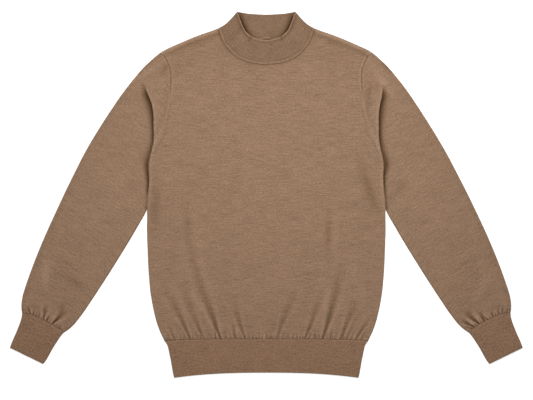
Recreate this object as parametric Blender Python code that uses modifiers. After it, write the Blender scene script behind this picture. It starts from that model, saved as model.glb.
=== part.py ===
"""Mock neck sweater laid flat, face up.

Metres, +Z up. The garment lies on Z = 0 with its neck towards +Y and X = 0 on its centre line. Every
piece is one layer of knit with a real wall. Front and back meet at half height along the side and
shoulder folds, sleeves, cuffs, hem band and collar are flat tubes.
"""

import math

import bpy
import numpy as np

GARMENT = "mock_neck_sweater"
MM = 0.001

# Cloth and seams
JERSEY_WALL = 1.3 * MM
RIB_WALL = 1.6 * MM
COLLAR_WALL = 1.8 * MM
FOLD_RADIUS = 2.3 * MM  # outer radius of a folded edge, so the laid garment is twice this thick
SEAM_GAP = 0.3 * MM
FOLD_SEAM_GAP = 0.8 * MM  # between the rolled edges of front and back at a side or shoulder
RIB_SEAM_GAP = 0.5 * MM  # between the gathered jersey and a cuff or the hem band
CORNER_GAP = 1.2 * MM  # added to a seam's gap where it ends at a fold
CORNER_REACH = 5.0 * MM
NECK_CORNER_LIFT = 0.15 * MM  # added between the body panels where the shoulder meets the neckline
CROWN = 1.0 * MM  # rise of the front between its seams
NECK_RISE = 0.9 * MM  # added radius of the collar at its top edge

# Halves of the outline, in millimetres from the centre line and along Y
SIDE_EDGE = (
    # out, along
    (203.6, -292.6),
    (213.3, -271.8),
    (219.9, -251.8),
    (224.8, -231.8),
    (228.9, -211.8),
    (232.0, -191.8),
    (235.3, -151.8),
    (237.0, -111.8),
    (238.0, -51.8),
    (238.0, -14.8),
    (235.4, 25.2),
    (234.8, 57.2),
    (232.2, 80.2),
    (228.2, 89.0),
)
ARMHOLE = (
    # out, along
    (228.2, 89.0),
    (208.6, 125.2),
    (198.6, 161.2),
    (192.2, 205.2),
    (191.2, 245.2),
    (199.6, 269.2),
    (209.2, 286.2),
)
SHOULDER = (
    # out, along
    (209.2, 286.2),
    (187.0, 298.4),
    (159.0, 308.4),
    (129.2, 320.0),
    (95.4, 330.4),
)
FRONT_NECKLINE = (
    # out, along
    (95.4, 330.4),
    (91.0, 315.2),
    (81.6, 296.8),
    (61.2, 276.6),
    (34.4, 264.2),
    (0.0, 260.0),
)
BACK_NECKLINE = (
    # out, along
    (95.4, 330.4),
    (93.6, 326.2),
    (89.0, 322.2),
    (76.0, 318.0),
    (42.0, 313.4),
    (0.0, 312.0),
)
COLLAR_SIDE = (
    # out, along
    (95.4, 330.4),
    (83.4, 337.0),
    (75.0, 343.4),
    (66.4, 351.8),
    (57.0, 365.2),
)
COLLAR_FRONT_EDGE = (
    # out, along
    (57.0, 365.2),
    (54.0, 355.0),
    (50.0, 344.0),
    (45.4, 333.2),
    (39.0, 324.0),
    (24.4, 313.4),
    (0.0, 309.2),
)
COLLAR_BACK_EDGE = (
    # out, along
    (57.0, 365.2),
    (45.0, 362.4),
    (30.0, 360.8),
    (0.0, 359.6),
)
HEM_ARCH = 5.4  # the hem seam stands this much higher at the centre than at the sides
BAND_SIDE = (
    # out, along
    (203.6, -292.6),
    (194.8, -311.8),
    (190.7, -331.8),
    (187.0, -351.8),
    (183.8, -365.2),
)
BAND_ARCH = 9.8  # rise of the band's lower edge at the centre

SLEEVE_OUTER_EDGE = (
    # out, along
    (209.2, 286.2),
    (218.4, 278.2),
    (229.8, 268.2),
    (249.8, 248.2),
    (281.8, 208.2),
    (309.2, 168.2),
    (334.7, 128.2),
    (358.5, 88.2),
    (379.3, 48.2),
    (399.4, 8.2),
    (418.5, -31.8),
    (437.1, -71.8),
    (454.3, -111.8),
    (469.9, -151.8),
    (483.8, -191.8),
    (488.5, -211.8),
    (489.4, -226.0),
    (488.2, -236.0),
)
SLEEVE_INNER_EDGE = (
    # out, along
    (229.3, 89.0),
    (233.3, 80.2),
    (235.7, 57.2),
    (236.4, 25.2),
    (239.2, -14.8),
    (249.7, -51.8),
    (273.8, -91.8),
    (298.4, -131.8),
    (323.7, -171.8),
    (349.9, -211.8),
    (366.0, -235.8),
    (382.4, -256.6),
    (403.4, -275.0),
)
OPPOSITE_ARMPIT = 140.6  # along, where the sleeve's outer edge faces the armpit
CUFF_SECTIONS = (
    # inner out, inner along, outer out, outer along
    (403.4, -275.0, 488.2, -236.0),
    (414.0, -290.4, 491.0, -252.6),
    (424.8, -306.4, 498.0, -271.8),
    (435.8, -322.4, 505.6, -289.4),
    (446.6, -338.4, 512.8, -305.4),
)

# Gathers above the hem seam, in millimetres, with the wearer's right side first
HEM_GATHERS = (
    # place along the seam, rise, lean, depth
    (-184.6, 20.0, -12.0, 1.5),
    (-171.0, 14.0, -6.0, 1.0),
    (-152.6, 53.0, -26.0, 1.9),
    (-138.0, 14.0, -4.0, 1.0),
    (-124.6, 47.0, -24.0, 1.7),
    (-112.0, 12.0, -3.0, 1.0),
    (-100.6, 18.0, -2.0, 1.2),
    (-86.6, 107.0, -50.0, 2.2),
    (-72.0, 12.0, -3.0, 1.0),
    (-60.6, 19.0, -8.0, 1.3),
    (-50.0, 12.0, -2.0, 1.0),
    (-40.6, 52.0, -24.0, 1.7),
    (-30.6, 12.0, -2.0, 1.1),
    (-20.0, 12.0, 0.0, 1.1),
    (-10.0, 12.0, 0.0, 1.1),
    (1.0, 12.0, 0.0, 1.1),
    (12.0, 12.0, 0.0, 1.0),
    (23.4, 50.0, 8.0, 1.7),
    (36.0, 12.0, 1.0, 1.0),
    (48.0, 12.0, 2.0, 1.2),
    (61.4, 12.0, 2.0, 1.2),
    (76.4, 73.0, 29.0, 1.8),
    (92.0, 16.0, 4.0, 1.0),
    (103.0, 14.0, 3.0, 1.0),
    (114.4, 112.0, 44.0, 2.2),
    (127.4, 14.0, 3.0, 1.1),
    (138.0, 12.0, 3.0, 1.0),
    (149.4, 62.0, 28.0, 1.8),
    (164.0, 14.0, 3.0, 1.0),
    (179.4, 43.0, 29.0, 1.6),
)
HEM_ROWS = (0.0, 4.0, 10.0, 20.0, 36.0, 60.0)  # heights above the seam that carry the gathers
CUFF_ROWS = (0.0, 4.0, 10.0, 18.0, 30.0)  # heights above a cuff's seam that carry its gathers
CUFF_GATHERS = (
    # share of the way from inner to outer edge, rise in millimetres, depth
    (0.09, 16.0, 1.2),
    (0.17, 12.0, 1.0),
    (0.26, 26.0, 1.9),
    (0.36, 12.0, 1.2),
    (0.43, 16.0, 1.4),
    (0.50, 16.0, 1.4),
    (0.59, 14.0, 1.2),
    (0.69, 14.0, 1.2),
    (0.79, 12.0, 1.2),
    (0.90, 10.0, 1.0),
)
GATHER_WIDTH = 3.4 * MM
GATHER_SPREAD = 1.2  # how much wider, as a share, a gather's furrow is at its top
GATHER_FADE = 0.7  # power of the furrow's fall in depth towards its top
PUFF = 2.4 * MM  # height of the cloth that stands up between gathers
PUFF_RISE = 5.0 * MM
PUFF_FADE = 42.0 * MM

# The pleat under each arm: its line from the armpit up into the sleeve, in millimetres
UNDERARM_FOLD = (
    # out, along, strength
    (238.4, -14.8, 0.6),
    (235.4, 25.2, 1.0),
    (234.8, 57.2, 1.0),
    (228.6, 89.2, 1.0),
    (226.6, 113.2, 1.0),
    (227.0, 156.2, 0.9),
    (230.2, 175.2, 0.6),
    (236.0, 190.6, 0.35),
    (244.6, 215.2, 0.0),
)
FOLD_CREST = 1.2 * MM
FOLD_TROUGH = 1.3 * MM
FOLD_CREST_WIDTH = 8.0 * MM
FOLD_TROUGH_WIDTH = 6.0 * MM

# How finely the pieces are divided
ARMHOLE_STEPS = 12
SLEEVE_COLUMNS = 8
CUFF_COLUMNS = 8
BAND_COLUMNS = 16
COLLAR_LEVELS = (0.0, 0.3, 0.6, 0.85, 1.0)  # shares of the collar's height
COLLAR_BOW = 3  # power with which the collar's side curve fades towards its centre
NARROW_FIT = 0.35  # greatest share of a narrow section's width that a fold's turn takes
TANGENT_SPAN = 0.01  # share of a curve's length to either side that gives its direction
SLEEVE_TIP = 2.4  # millimetres below the shoulder tip where the sleeve's first section lies
NECK_STEPS = 16
BACK_NECK_STEPS = 8
SHOULDER_STEPS = 5
SHORTEST_STEP = 12.0 * MM  # least length of cloth between the gathers and the next section
CURVE_SAMPLES = 24  # points between two rows of a table
ROLL_ANGLES = (0.0, 12.0, 32.0, 58.0, 90.0)  # degrees around a rolled edge, from its rim to the flat
SEAM_STEPS = (0.0, 0.5, 1.0, 1.6, 2.3)  # millimetres inward from an edge that is sewn to a flat piece
FULL = 1.0e3  # a distance from any fold that is as good as endless
LAST_KEY = 1.0e6  # marks the end of a row that has run all the way round

# Yarn colours, linear
BODY_COLOUR = (0.305, 0.191, 0.122)
SLEEVE_COLOUR = (0.280, 0.174, 0.112)
RIB_COLOUR = (0.217, 0.131, 0.083)
COLLAR_COLOUR = (0.258, 0.159, 0.099)
YARN_ROUGHNESS = 0.92


def curve(table):
    """A smooth curve through a table's rows, in metres where the rows are in millimetres."""
    rows = np.array(table, dtype=float)
    ends = np.vstack((2 * rows[0] - rows[1], rows, 2 * rows[-1] - rows[-2]))
    points = []
    for before, start, end, after in zip(ends, ends[1:], ends[2:], ends[3:]):
        for step in range(CURVE_SAMPLES):
            t = step / CURVE_SAMPLES
            points.append(
                0.5
                * (
                    2 * start
                    + (end - before) * t
                    + (2 * before - 5 * start + 4 * end - after) * t**2
                    + (3 * start - before - 3 * end + after) * t**3
                )
            )
    points.append(rows[-1])
    return np.array(points) * MM


def along_curve(points, shares):
    """Points at the given shares of a curve's length."""
    lengths = np.linalg.norm(np.diff(points[:, :2], axis=0), axis=1)
    travelled = np.concatenate(([0.0], np.cumsum(lengths)))
    wanted = np.asarray(shares) * travelled[-1]
    return np.stack([np.interp(wanted, travelled, points[:, k]) for k in range(points.shape[1])], axis=1)


def height_on(points, out):
    """The Y of a half outline at the given distances from the centre line."""
    order = np.argsort(points[:, 0])
    return np.interp(np.abs(out), points[order, 0], points[order, 1])


def out_on(points, along):
    """The distance of a half outline from the centre line at a given Y."""
    order = np.argsort(points[:, 1])
    return float(np.interp(along, points[order, 1], points[order, 0]))


def length_of(points):
    """The length of a curve."""
    return float(np.sum(np.linalg.norm(np.diff(points, axis=0), axis=1)))


def roundness(distance, radius=FOLD_RADIUS):
    """Share of the full height that a rolled edge has reached at a distance from its rim."""
    inward = 1.0 - min(distance, radius) / radius
    return math.sqrt(max(0.0, 1.0 - inward**2))


def distance_to_line(x, y, line):
    """Signed distance from a curve (positive towards the centre line) and the strength there."""
    gaps = np.hypot(line[:, 0] - abs(x), line[:, 1] - y)
    nearest = int(np.argmin(gaps))
    towards_centre = 1.0 if abs(x) < line[nearest, 0] else -1.0
    return towards_centre * float(gaps[nearest]), float(line[nearest, 2]) / MM


def underarm_relief(x, y, line):
    """The pleat under an arm: a crest on the body's side of the line and a trough beyond it."""
    distance, strength = distance_to_line(x, y, line)
    crest = FOLD_CREST * math.exp(-(((distance - FOLD_CREST_WIDTH / 2) / FOLD_CREST_WIDTH) ** 2))
    trough = FOLD_TROUGH * math.exp(-(((distance + FOLD_TROUGH_WIDTH / 2) / FOLD_TROUGH_WIDTH) ** 2))
    return strength * (crest - trough)


def gather_relief(x, rise, gathers):
    """Height of the puffed cloth at a place along a seam and above it, with a furrow at each gather.

    Each gather is its place, height, sideways lean at the top and depth, in metres.
    """
    start = 1.0 - math.exp(-rise / PUFF_RISE)
    relief = PUFF * start * math.exp(-rise / PUFF_FADE)
    for place, height, lean, depth in gathers:
        travelled = rise / height
        fade = max(0.0, 1.0 - travelled)
        spread = GATHER_WIDTH * (1.0 + GATHER_SPREAD * min(travelled, 1.0))
        offset = (x - place - lean * min(travelled, 1.0)) / spread
        relief -= start * depth * fade**GATHER_FADE * math.exp(-(offset**2))
    return relief


def material(name, colour):
    """Knit yarn of one colour."""
    finish = bpy.data.materials.new(name)
    finish.use_nodes = True
    shader = finish.node_tree.nodes["Principled BSDF"]
    shader.inputs["Base Color"].default_value = (*colour, 1.0)
    shader.inputs["Roughness"].default_value = YARN_ROUGHNESS
    shader.inputs["Metallic"].default_value = 0.0
    finish.diffuse_color = (*colour, 1.0)
    return finish


def strip_between(first, second):
    """Faces between two rows of (key, vertex), with triangles where one row has more points."""
    faces = []
    i = 0
    j = 0
    while i < len(first) - 1 or j < len(second) - 1:
        next_first = first[i + 1][0] if i < len(first) - 1 else math.inf
        next_second = second[j + 1][0] if j < len(second) - 1 else math.inf
        if next_first == next_second:
            faces.append((first[i][1], first[i + 1][1], second[j + 1][1], second[j][1]))
            i += 1
            j += 1
        elif next_first < next_second:
            faces.append((first[i][1], first[i + 1][1], second[j][1]))
            i += 1
        else:
            faces.append((first[i][1], second[j + 1][1], second[j][1]))
            j += 1
    return faces


def shell(name, rows, wall, finish, closes_from=None, turned=False):
    """A knit piece: a surface through rows of (key, point), given its wall on the inner side.

    Rows from closes_from on run all the way round and end where they start. Turned is for a piece whose
    rows run the other way round.
    """
    vertices = []
    lines = []
    for index, row in enumerate(rows):
        start = len(vertices)
        vertices.extend(point for _, point in row)
        line = [(key, start + place) for place, (key, _) in enumerate(row)]
        if closes_from is not None and index >= closes_from:
            line.append((LAST_KEY, start))
        lines.append(line)
    faces = []
    for below, above in zip(lines, lines[1:]):
        faces.extend(strip_between(below, above))
    if turned:
        faces = [face[::-1] for face in faces]
    mesh = bpy.data.meshes.new(name)
    mesh.from_pydata(vertices, [], faces)
    mesh.materials.append(finish)
    mesh.shade_smooth()
    piece = bpy.data.objects.new(name, mesh)
    bpy.data.collections[GARMENT].objects.link(piece)
    thickness = piece.modifiers.new("wall", "SOLIDIFY")
    thickness.thickness = wall
    thickness.offset = -1.0
    return piece


def panel(name, finish, front):
    """The front or the back of the body, with its side and shoulder edges rolled to half height."""
    side = curve(SIDE_EDGE)
    armhole = curve(ARMHOLE)
    neckline = curve(FRONT_NECKLINE if front else BACK_NECKLINE)
    shoulder = curve(SHOULDER)
    top = np.vstack((neckline[::-1], shoulder[::-1]))
    underarm = curve(UNDERARM_FOLD)
    armpit = float(side[-1, 1])
    hem_end = float(side[0, 1])
    tip_out, tip_along = shoulder[0]
    neck_out = float(shoulder[-1, 0])
    rolled_radius = FOLD_RADIUS - FOLD_SEAM_GAP / 2
    roll = [rolled_radius * (1.0 - math.cos(math.radians(angle))) for angle in ROLL_ANGLES]
    flat = [step * MM for step in SEAM_STEPS]

    neck_steps = NECK_STEPS if front else BACK_NECK_STEPS
    across = along_curve(neckline, np.linspace(0.0, 1.0, neck_steps // 2 + 1))[:, 0]
    beyond = np.linspace(neck_out, tip_out - flat[-1], SHOULDER_STEPS + 1)[1:-1]
    half = sorted(float(value) for value in np.concatenate((across, beyond)))
    corner = along_curve(neckline, [step / length_of(neckline) for step in corner_steps(FOLD_RADIUS)])[:, 0]

    def both_ways(outs):
        shares = [float(value) / (tip_out - flat[-1]) for value in outs]
        return sorted({round(sign * share, 6) for share in shares for sign in (-1, 1)})

    coarse = both_ways(half)
    cornered = both_ways([*half, *corner])
    gathers = [tuple(value * MM for value in row) for row in HEM_GATHERS]
    furrows = [place for place, _, _, _ in gathers]
    ridges = [(a + b) / 2 for a, b in zip(furrows, furrows[1:])]
    hem_width = float(side[0, 0]) - roll[-1]
    fine = sorted(round(place / hem_width, 6) for place in furrows + ridges)

    levels = []  # along at the edge, columns between the edges, step below the top edge if near it
    if front:
        levels.extend((hem_end + height * MM, fine, None) for height in HEM_ROWS)
    else:
        levels.append((hem_end, coarse, None))
    above_gathers = hem_end + HEM_ROWS[-1] * MM + SHORTEST_STEP
    levels.extend((along * MM, coarse, None) for _, along in SIDE_EDGE if along * MM > above_gathers)
    levels.extend((armpit + step, coarse, None) for step in roll[1:])
    sewn = along_curve(armhole, np.linspace(0.0, 1.0, ARMHOLE_STEPS + 1))[1:-1, 1]
    levels.extend((float(value), coarse, None) for value in sewn)
    levels.extend((tip_along - roll[step], cornered, step) for step in reversed(range(len(roll))))

    rows = []
    for along, inner_keys, top_step in levels:
        on_side = along <= armpit
        past_armpit = min(1.0, max(0.0, along - armpit) / roll[-1])
        out = out_on(side if on_side else armhole, along) - past_armpit * SEAM_GAP / 2
        steps = [(1.0 - past_armpit) * a + past_armpit * b for a, b in zip(roll, flat)]
        weight = (along - hem_end) / (tip_along - hem_end)
        keys = [(-2.0 + index * 0.1, -(out - step), step) for index, step in enumerate(steps)]
        keys += [(key, key * (out - steps[-1]), FULL) for key in inner_keys]
        keys += [(2.0 - index * 0.1, out - step, step) for index, step in reversed(list(enumerate(steps)))]
        row = []
        for key, x, step in keys:
            scaled = x / out * tip_out
            top_height = float(height_on(top, scaled))
            hem_rise = HEM_ARCH * MM * (1.0 - (scaled / tip_out) ** 2)
            y = along + weight * (top_height - tip_along) + (1.0 - weight) * hem_rise
            from_fold = step if on_side else math.hypot(step, along - armpit)
            if top_step is not None:
                past_neck = max(0.0, neck_out - abs(scaled))
                on_neck = min(1.0, past_neck / rolled_radius)
                slope = (float(height_on(top, abs(scaled) - MM)) - top_height) / MM
                drop = (1.0 - on_neck) * roll[top_step] + on_neck * flat[top_step]
                y = top_height - drop * math.hypot(1.0, slope)
                from_fold = min(from_fold, math.hypot(roll[top_step], past_neck))
            rolled = roundness(from_fold, rolled_radius)
            z = FOLD_SEAM_GAP / 2 + rolled_radius * rolled
            if top_step is not None:
                from_corner = abs(abs(scaled) - neck_out)
                z += (1.0 - rolled) * NECK_CORNER_LIFT * math.exp(-from_corner / CORNER_REACH)
            if front:
                crown = CROWN * (1.0 - (x / out) ** 2) * 4 * weight * (1.0 - weight)
                relief = gather_relief(x, along - hem_end, gathers) + underarm_relief(x, y, underarm)
                z += rolled * (crown + relief)
                row.append((key, (x, y, FOLD_RADIUS + z)))
            else:
                row.append((key, (x, y, FOLD_RADIUS - z)))
        rows.append(row)
    return shell(name, rows, JERSEY_WALL, finish, turned=not front)


def corner_steps(radius):
    """How far inward from a fold its half turn and its whole turn lie."""
    return radius * (1.0 - math.cos(math.pi / 4)), radius


def flat_ring(left, right, radius, top_keys, under_keys, bend=None):
    """One cross section of a flat tube, from one fold over the top to its other fold and back.

    Keys are shares of the way across. Bend gives a point's shift at a share. Each result is a key that
    grows around the ring, the place in the plane and the height above the middle of the tube.
    """
    span = float(np.linalg.norm(right - left))
    half_turn, full_turn = (step / span for step in corner_steps(radius))
    rise = radius * math.sin(math.pi / 4)
    around = [(0.0, 0.0, 0.0), (0.01, half_turn, rise), (0.02, full_turn, radius)]
    around += [(0.02 + key, key, radius) for key in top_keys]
    around += [(1.03, 1.0 - full_turn, radius), (1.04, 1.0 - half_turn, rise), (1.05, 1.0, 0.0)]
    around += [(1.06, 1.0 - half_turn, -rise), (1.07, 1.0 - full_turn, -radius)]
    around += [(2.07 - key, key, -radius) for key in reversed(under_keys)]
    around += [(2.08, full_turn, -radius), (2.09, half_turn, -rise)]
    ring = []
    for key, share, height in around:
        place = left + share * (right - left)
        if bend is not None:
            place = place + bend(share)
        ring.append((key, place, height))
    return ring


def square_to(points, share):
    """The unit direction to the left of a curve, seen from above, at a share of its length."""
    behind, ahead = along_curve(points, np.clip((share - TANGENT_SPAN, share + TANGENT_SPAN), 0.0, 1.0))
    along = (ahead - behind) / np.linalg.norm(ahead - behind)
    return np.array((-along[1], along[0]))


def sleeve_section(near, far, from_near, from_far, above_armpit, top_keys, under_keys):
    """The points across a sleeve, over its top layer, around its outer fold and back underneath.

    Near is on the armhole or the inner fold, far on the outer fold. Each result is a key, the place in
    the plane, its share of the full height and whether it is on the top layer.
    """
    width = float(np.linalg.norm(far - near))
    fit = min(1.0, NARROW_FIT * width / FOLD_RADIUS)
    half_turn, full_turn = (fit * step for step in corner_steps(FOLD_RADIUS))

    def layer(keys):
        columns = [
            (0.0, near, 0.0, width),
            (0.01, near + half_turn * from_near, half_turn, width - half_turn),
            (0.02, near + full_turn * from_near, full_turn, width - full_turn),
        ]
        columns += [(0.02 + key, near + key * (far - near), key * width, (1.0 - key) * width) for key in keys]
        columns += [
            (1.03, far + full_turn * from_far, width, full_turn),
            (1.04, far + half_turn * from_far, width, half_turn),
        ]
        return [
            (key, place, min(roundness(math.hypot(inward, above_armpit)), roundness(outward)))
            for key, place, inward, outward in columns
        ]

    section = [(key, place, rolled, True) for key, place, rolled in layer(top_keys)]
    section.append((1.05, far, 0.0, True))
    section += [(2.1 - key, place, rolled, False) for key, place, rolled in reversed(layer(under_keys))]
    return section


def sleeve(name, side, finish):
    """A set-in sleeve: one panel around its outer fold, open along the armhole, closed below the armpit."""
    armhole = curve(ARMHOLE)[::-1]
    outer_edge = curve(SLEEVE_OUTER_EDGE)
    inner_edge = curve(SLEEVE_INNER_EDGE)
    underarm = curve(UNDERARM_FOLD)
    opposite = int(np.argmax(outer_edge[:, 1] < OPPOSITE_ARMPIT * MM))
    seam_length = length_of(armhole)
    lower_length = length_of(inner_edge)
    even = [step / SLEEVE_COLUMNS for step in range(1, SLEEVE_COLUMNS)]
    furrows = [share for share, _, _ in CUFF_GATHERS]
    gathered = sorted(furrows + [(a + b) / 2 for a, b in zip(furrows, furrows[1:])])
    cuff_middle = (inner_edge[-1] + outer_edge[-1]) / 2

    cap_shares = [SLEEVE_TIP * MM / seam_length]
    cap_shares += [step / ARMHOLE_STEPS for step in range(1, ARMHOLE_STEPS)]
    cap_shares += [1.0 - step / seam_length for step in reversed(corner_steps(FOLD_RADIUS))]
    gathered_from = 1.0 - CUFF_ROWS[-1] * MM / lower_length
    plain_until = gathered_from - SHORTEST_STEP / lower_length
    at_rows = [length_of(inner_edge[: row * CURVE_SAMPLES + 1]) for row in range(len(SLEEVE_INNER_EDGE))]
    lower_shares = [travelled / lower_length for travelled in at_rows]
    lower_shares = [share for share in lower_shares if share < plain_until]
    lower_shares += [1.0 - rise * MM / lower_length for rise in reversed(CUFF_ROWS)]
    sections = [(armhole, outer_edge[: opposite + 1], share) for share in cap_shares]
    sections += [(inner_edge, outer_edge[opposite:], share) for share in lower_shares]

    rows = []
    for near_edge, far_edge, share in sections:
        near = along_curve(near_edge, [share])[0]
        far = along_curve(far_edge, [share])[0]
        from_near = square_to(near_edge, share)
        from_far = -square_to(far_edge, share)
        above_armpit = 0.0
        if near_edge is armhole:
            above_armpit = (1.0 - share) * seam_length
            from_end = min(share, 1.0 - share) * seam_length
            clearance = SEAM_GAP / 2 + CORNER_GAP * math.exp(-from_end / CORNER_REACH)
            near = near + np.array((clearance, 0.0))
        gathers_here = near_edge is inner_edge and share >= gathered_from
        section = sleeve_section(
            near, far, from_near, from_far, above_armpit, gathered if gathers_here else even, even[1::2]
        )
        width = float(np.linalg.norm(far - near))
        gathers = [(place * width, rise * MM, 0.0, depth * MM) for place, rise, depth in CUFF_GATHERS]
        above_cuff = float(np.linalg.norm((near + far) / 2 - cuff_middle))
        row = []
        for key, place, rolled, on_top in section:
            height = -rolled * FOLD_RADIUS
            if on_top:
                from_inner = float(np.linalg.norm(place - near))
                relief = gather_relief(from_inner, above_cuff, gathers)
                relief += underarm_relief(place[0], place[1], underarm)
                height = rolled * (FOLD_RADIUS + relief)
            row.append((key, (side * place[0], place[1], FOLD_RADIUS + height)))
        if near_edge is armhole:
            row[-1] = (LAST_KEY, row[-1][1])
        else:
            row.pop()
        rows.append(row)
    return shell(name, rows, JERSEY_WALL, finish, closes_from=len(cap_shares), turned=side > 0)


def cuff(name, side, finish):
    """A rib cuff: a short flat tube that narrows a little to its open end."""
    sections = [np.array(section) * MM for section in CUFF_SECTIONS]
    seam_line = sections[0][2:] - sections[0][:2]
    down = np.array((seam_line[1], -seam_line[0])) / np.linalg.norm(seam_line)
    sections[0] = sections[0] + RIB_SEAM_GAP * np.concatenate((down, down))
    keys = [step / CUFF_COLUMNS for step in range(1, CUFF_COLUMNS)]
    rows = []
    for section in sections:
        ring = flat_ring(section[:2], section[2:], FOLD_RADIUS, keys, keys[1::2])
        rows.append([(key, (side * place[0], place[1], FOLD_RADIUS + height)) for key, place, height in ring])
    return shell(name, rows, RIB_WALL, finish, closes_from=0, turned=side > 0)


def hem_band(name, finish):
    """The rib band: a wide flat tube below the hem seam, open at its lower edge."""
    keys = [step / BAND_COLUMNS for step in range(1, BAND_COLUMNS)]
    rows = []
    count = len(BAND_SIDE)
    for index, (out, along) in enumerate(BAND_SIDE):
        arch = (HEM_ARCH + (BAND_ARCH - HEM_ARCH) * index / (count - 1)) * MM
        left = np.array((-out, along)) * MM
        right = np.array((out, along)) * MM
        if index == 0:
            left[1] -= RIB_SEAM_GAP
            right[1] -= RIB_SEAM_GAP

        def lift(share):
            return np.array((0.0, arch * (1.0 - (2 * share - 1.0) ** 2)))

        ring = flat_ring(left, right, FOLD_RADIUS, keys, keys[1::2], lift)
        rows.append([(key, (*place, FOLD_RADIUS + height)) for key, place, height in ring])
    return shell(name, rows, RIB_WALL, finish, closes_from=0, turned=True)


def whole(half):
    """A curve from left to right, from its right half that runs to the centre line."""
    mirrored = half * np.array((-1.0, 1.0))
    return np.vstack((mirrored, half[::-1][1:]))


def collar(name, finish):
    """The mock neck: a low flat tube whose front dips, so the inside of its back shows."""
    front_seam = whole(curve(FRONT_NECKLINE))
    back_seam = whole(curve(BACK_NECKLINE))
    front_edge = whole(curve(COLLAR_FRONT_EDGE))
    back_edge = whole(curve(COLLAR_BACK_EDGE))
    side = curve(COLLAR_SIDE)
    front_shares = [step / NECK_STEPS for step in range(1, NECK_STEPS)]
    back_shares = [step / BACK_NECK_STEPS for step in range(1, BACK_NECK_STEPS)]

    rows = []
    for height in COLLAR_LEVELS:
        radius = FOLD_RADIUS + NECK_RISE * height
        edge_of_fold = along_curve(side, [height])[0]
        straight = (1.0 - height) * side[0] + height * side[-1]
        bow = edge_of_fold - straight
        rise = radius * math.sin(math.pi / 4)

        def wall_point(seam, edge, share, level):
            from_corner = min(share, 1.0 - share) * length_of(seam)
            gap = SEAM_GAP + CORNER_GAP * math.exp(-from_corner / CORNER_REACH)
            low = along_curve(seam, [share])[0] + gap * square_to(seam, share)
            high = along_curve(edge, [share])[0]
            spread = abs(2 * share - 1.0) ** COLLAR_BOW
            outward = math.copysign(spread * bow[0], share - 0.5)
            x, y = (1.0 - height) * low + height * high
            return float(x + outward), float(y + spread * bow[1]), level

        near = [step / length_of(front_seam) for step in corner_steps(radius)]
        near_back = [step / length_of(back_seam) for step in corner_steps(radius)]
        upper = [0.0, *near, *front_shares, 1.0 - near[1], 1.0 - near[0], 1.0]
        upper_levels = [0.0, rise, *[radius] * (len(front_shares) + 2), rise, 0.0]
        lower = [1.0 - near_back[0], 1.0 - near_back[1], *reversed(back_shares), near_back[1], near_back[0]]
        lower_levels = [-rise, *[-radius] * (len(back_shares) + 2), -rise]
        points = [
            wall_point(front_seam, front_edge, share, radius + level)
            for share, level in zip(upper, upper_levels)
        ]
        points += [
            wall_point(back_seam, back_edge, share, radius + level)
            for share, level in zip(lower, lower_levels)
        ]
        rows.append([(float(place), point) for place, point in enumerate(points)])
    return shell(name, rows, COLLAR_WALL, finish, closes_from=0)


def build():
    """The whole garment, in its own collection."""
    for item in list(bpy.data.objects):
        bpy.data.objects.remove(item)
    garment = bpy.data.collections.new(GARMENT)
    bpy.context.scene.collection.children.link(garment)
    body_yarn = material("body_jersey", BODY_COLOUR)
    back_yarn = material("back_jersey", BODY_COLOUR)
    panel("body_front", body_yarn, front=True)
    panel("body_back", back_yarn, front=False)
    for name, side in (("left", -1.0), ("right", 1.0)):
        sleeve(f"sleeve_{name}", side, material(f"sleeve_{name}_jersey", SLEEVE_COLOUR))
        cuff(f"cuff_{name}", side, material(f"cuff_{name}_rib", RIB_COLOUR))
    hem_band("hem_band", material("hem_rib", RIB_COLOUR))
    collar("collar", material("collar_rib", COLLAR_COLOUR))


build()
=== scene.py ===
"""The look of a mock neck sweater that lies flat, face up, on a pale floor.

Metres, +Z up, the neck towards +Y. Every knit piece is a grid of points worked out as whole arrays and given
its wall by Solidify. A table in millimetres gives the garment's right half, outwards from its centre line.
"""

import logging
import math
from dataclasses import dataclass, field
from enum import Enum
from functools import cached_property

import bmesh
import bpy
import numpy as np
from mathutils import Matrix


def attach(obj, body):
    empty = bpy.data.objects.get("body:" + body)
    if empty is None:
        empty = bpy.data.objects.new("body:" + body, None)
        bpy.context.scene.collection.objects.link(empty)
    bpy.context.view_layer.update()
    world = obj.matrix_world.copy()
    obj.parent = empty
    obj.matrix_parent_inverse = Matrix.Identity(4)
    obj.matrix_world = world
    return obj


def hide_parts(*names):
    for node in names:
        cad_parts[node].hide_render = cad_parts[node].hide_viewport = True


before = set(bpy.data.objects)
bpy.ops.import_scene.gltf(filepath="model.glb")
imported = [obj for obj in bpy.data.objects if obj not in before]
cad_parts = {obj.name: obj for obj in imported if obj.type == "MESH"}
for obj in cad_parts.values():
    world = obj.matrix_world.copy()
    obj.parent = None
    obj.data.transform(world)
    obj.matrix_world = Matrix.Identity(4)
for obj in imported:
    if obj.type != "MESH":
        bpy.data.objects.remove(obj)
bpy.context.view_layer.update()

LOG = logging.getLogger("sweater")
Array = np.ndarray
Rows = tuple[tuple[float, ...], ...]
MM = 0.001

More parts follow.
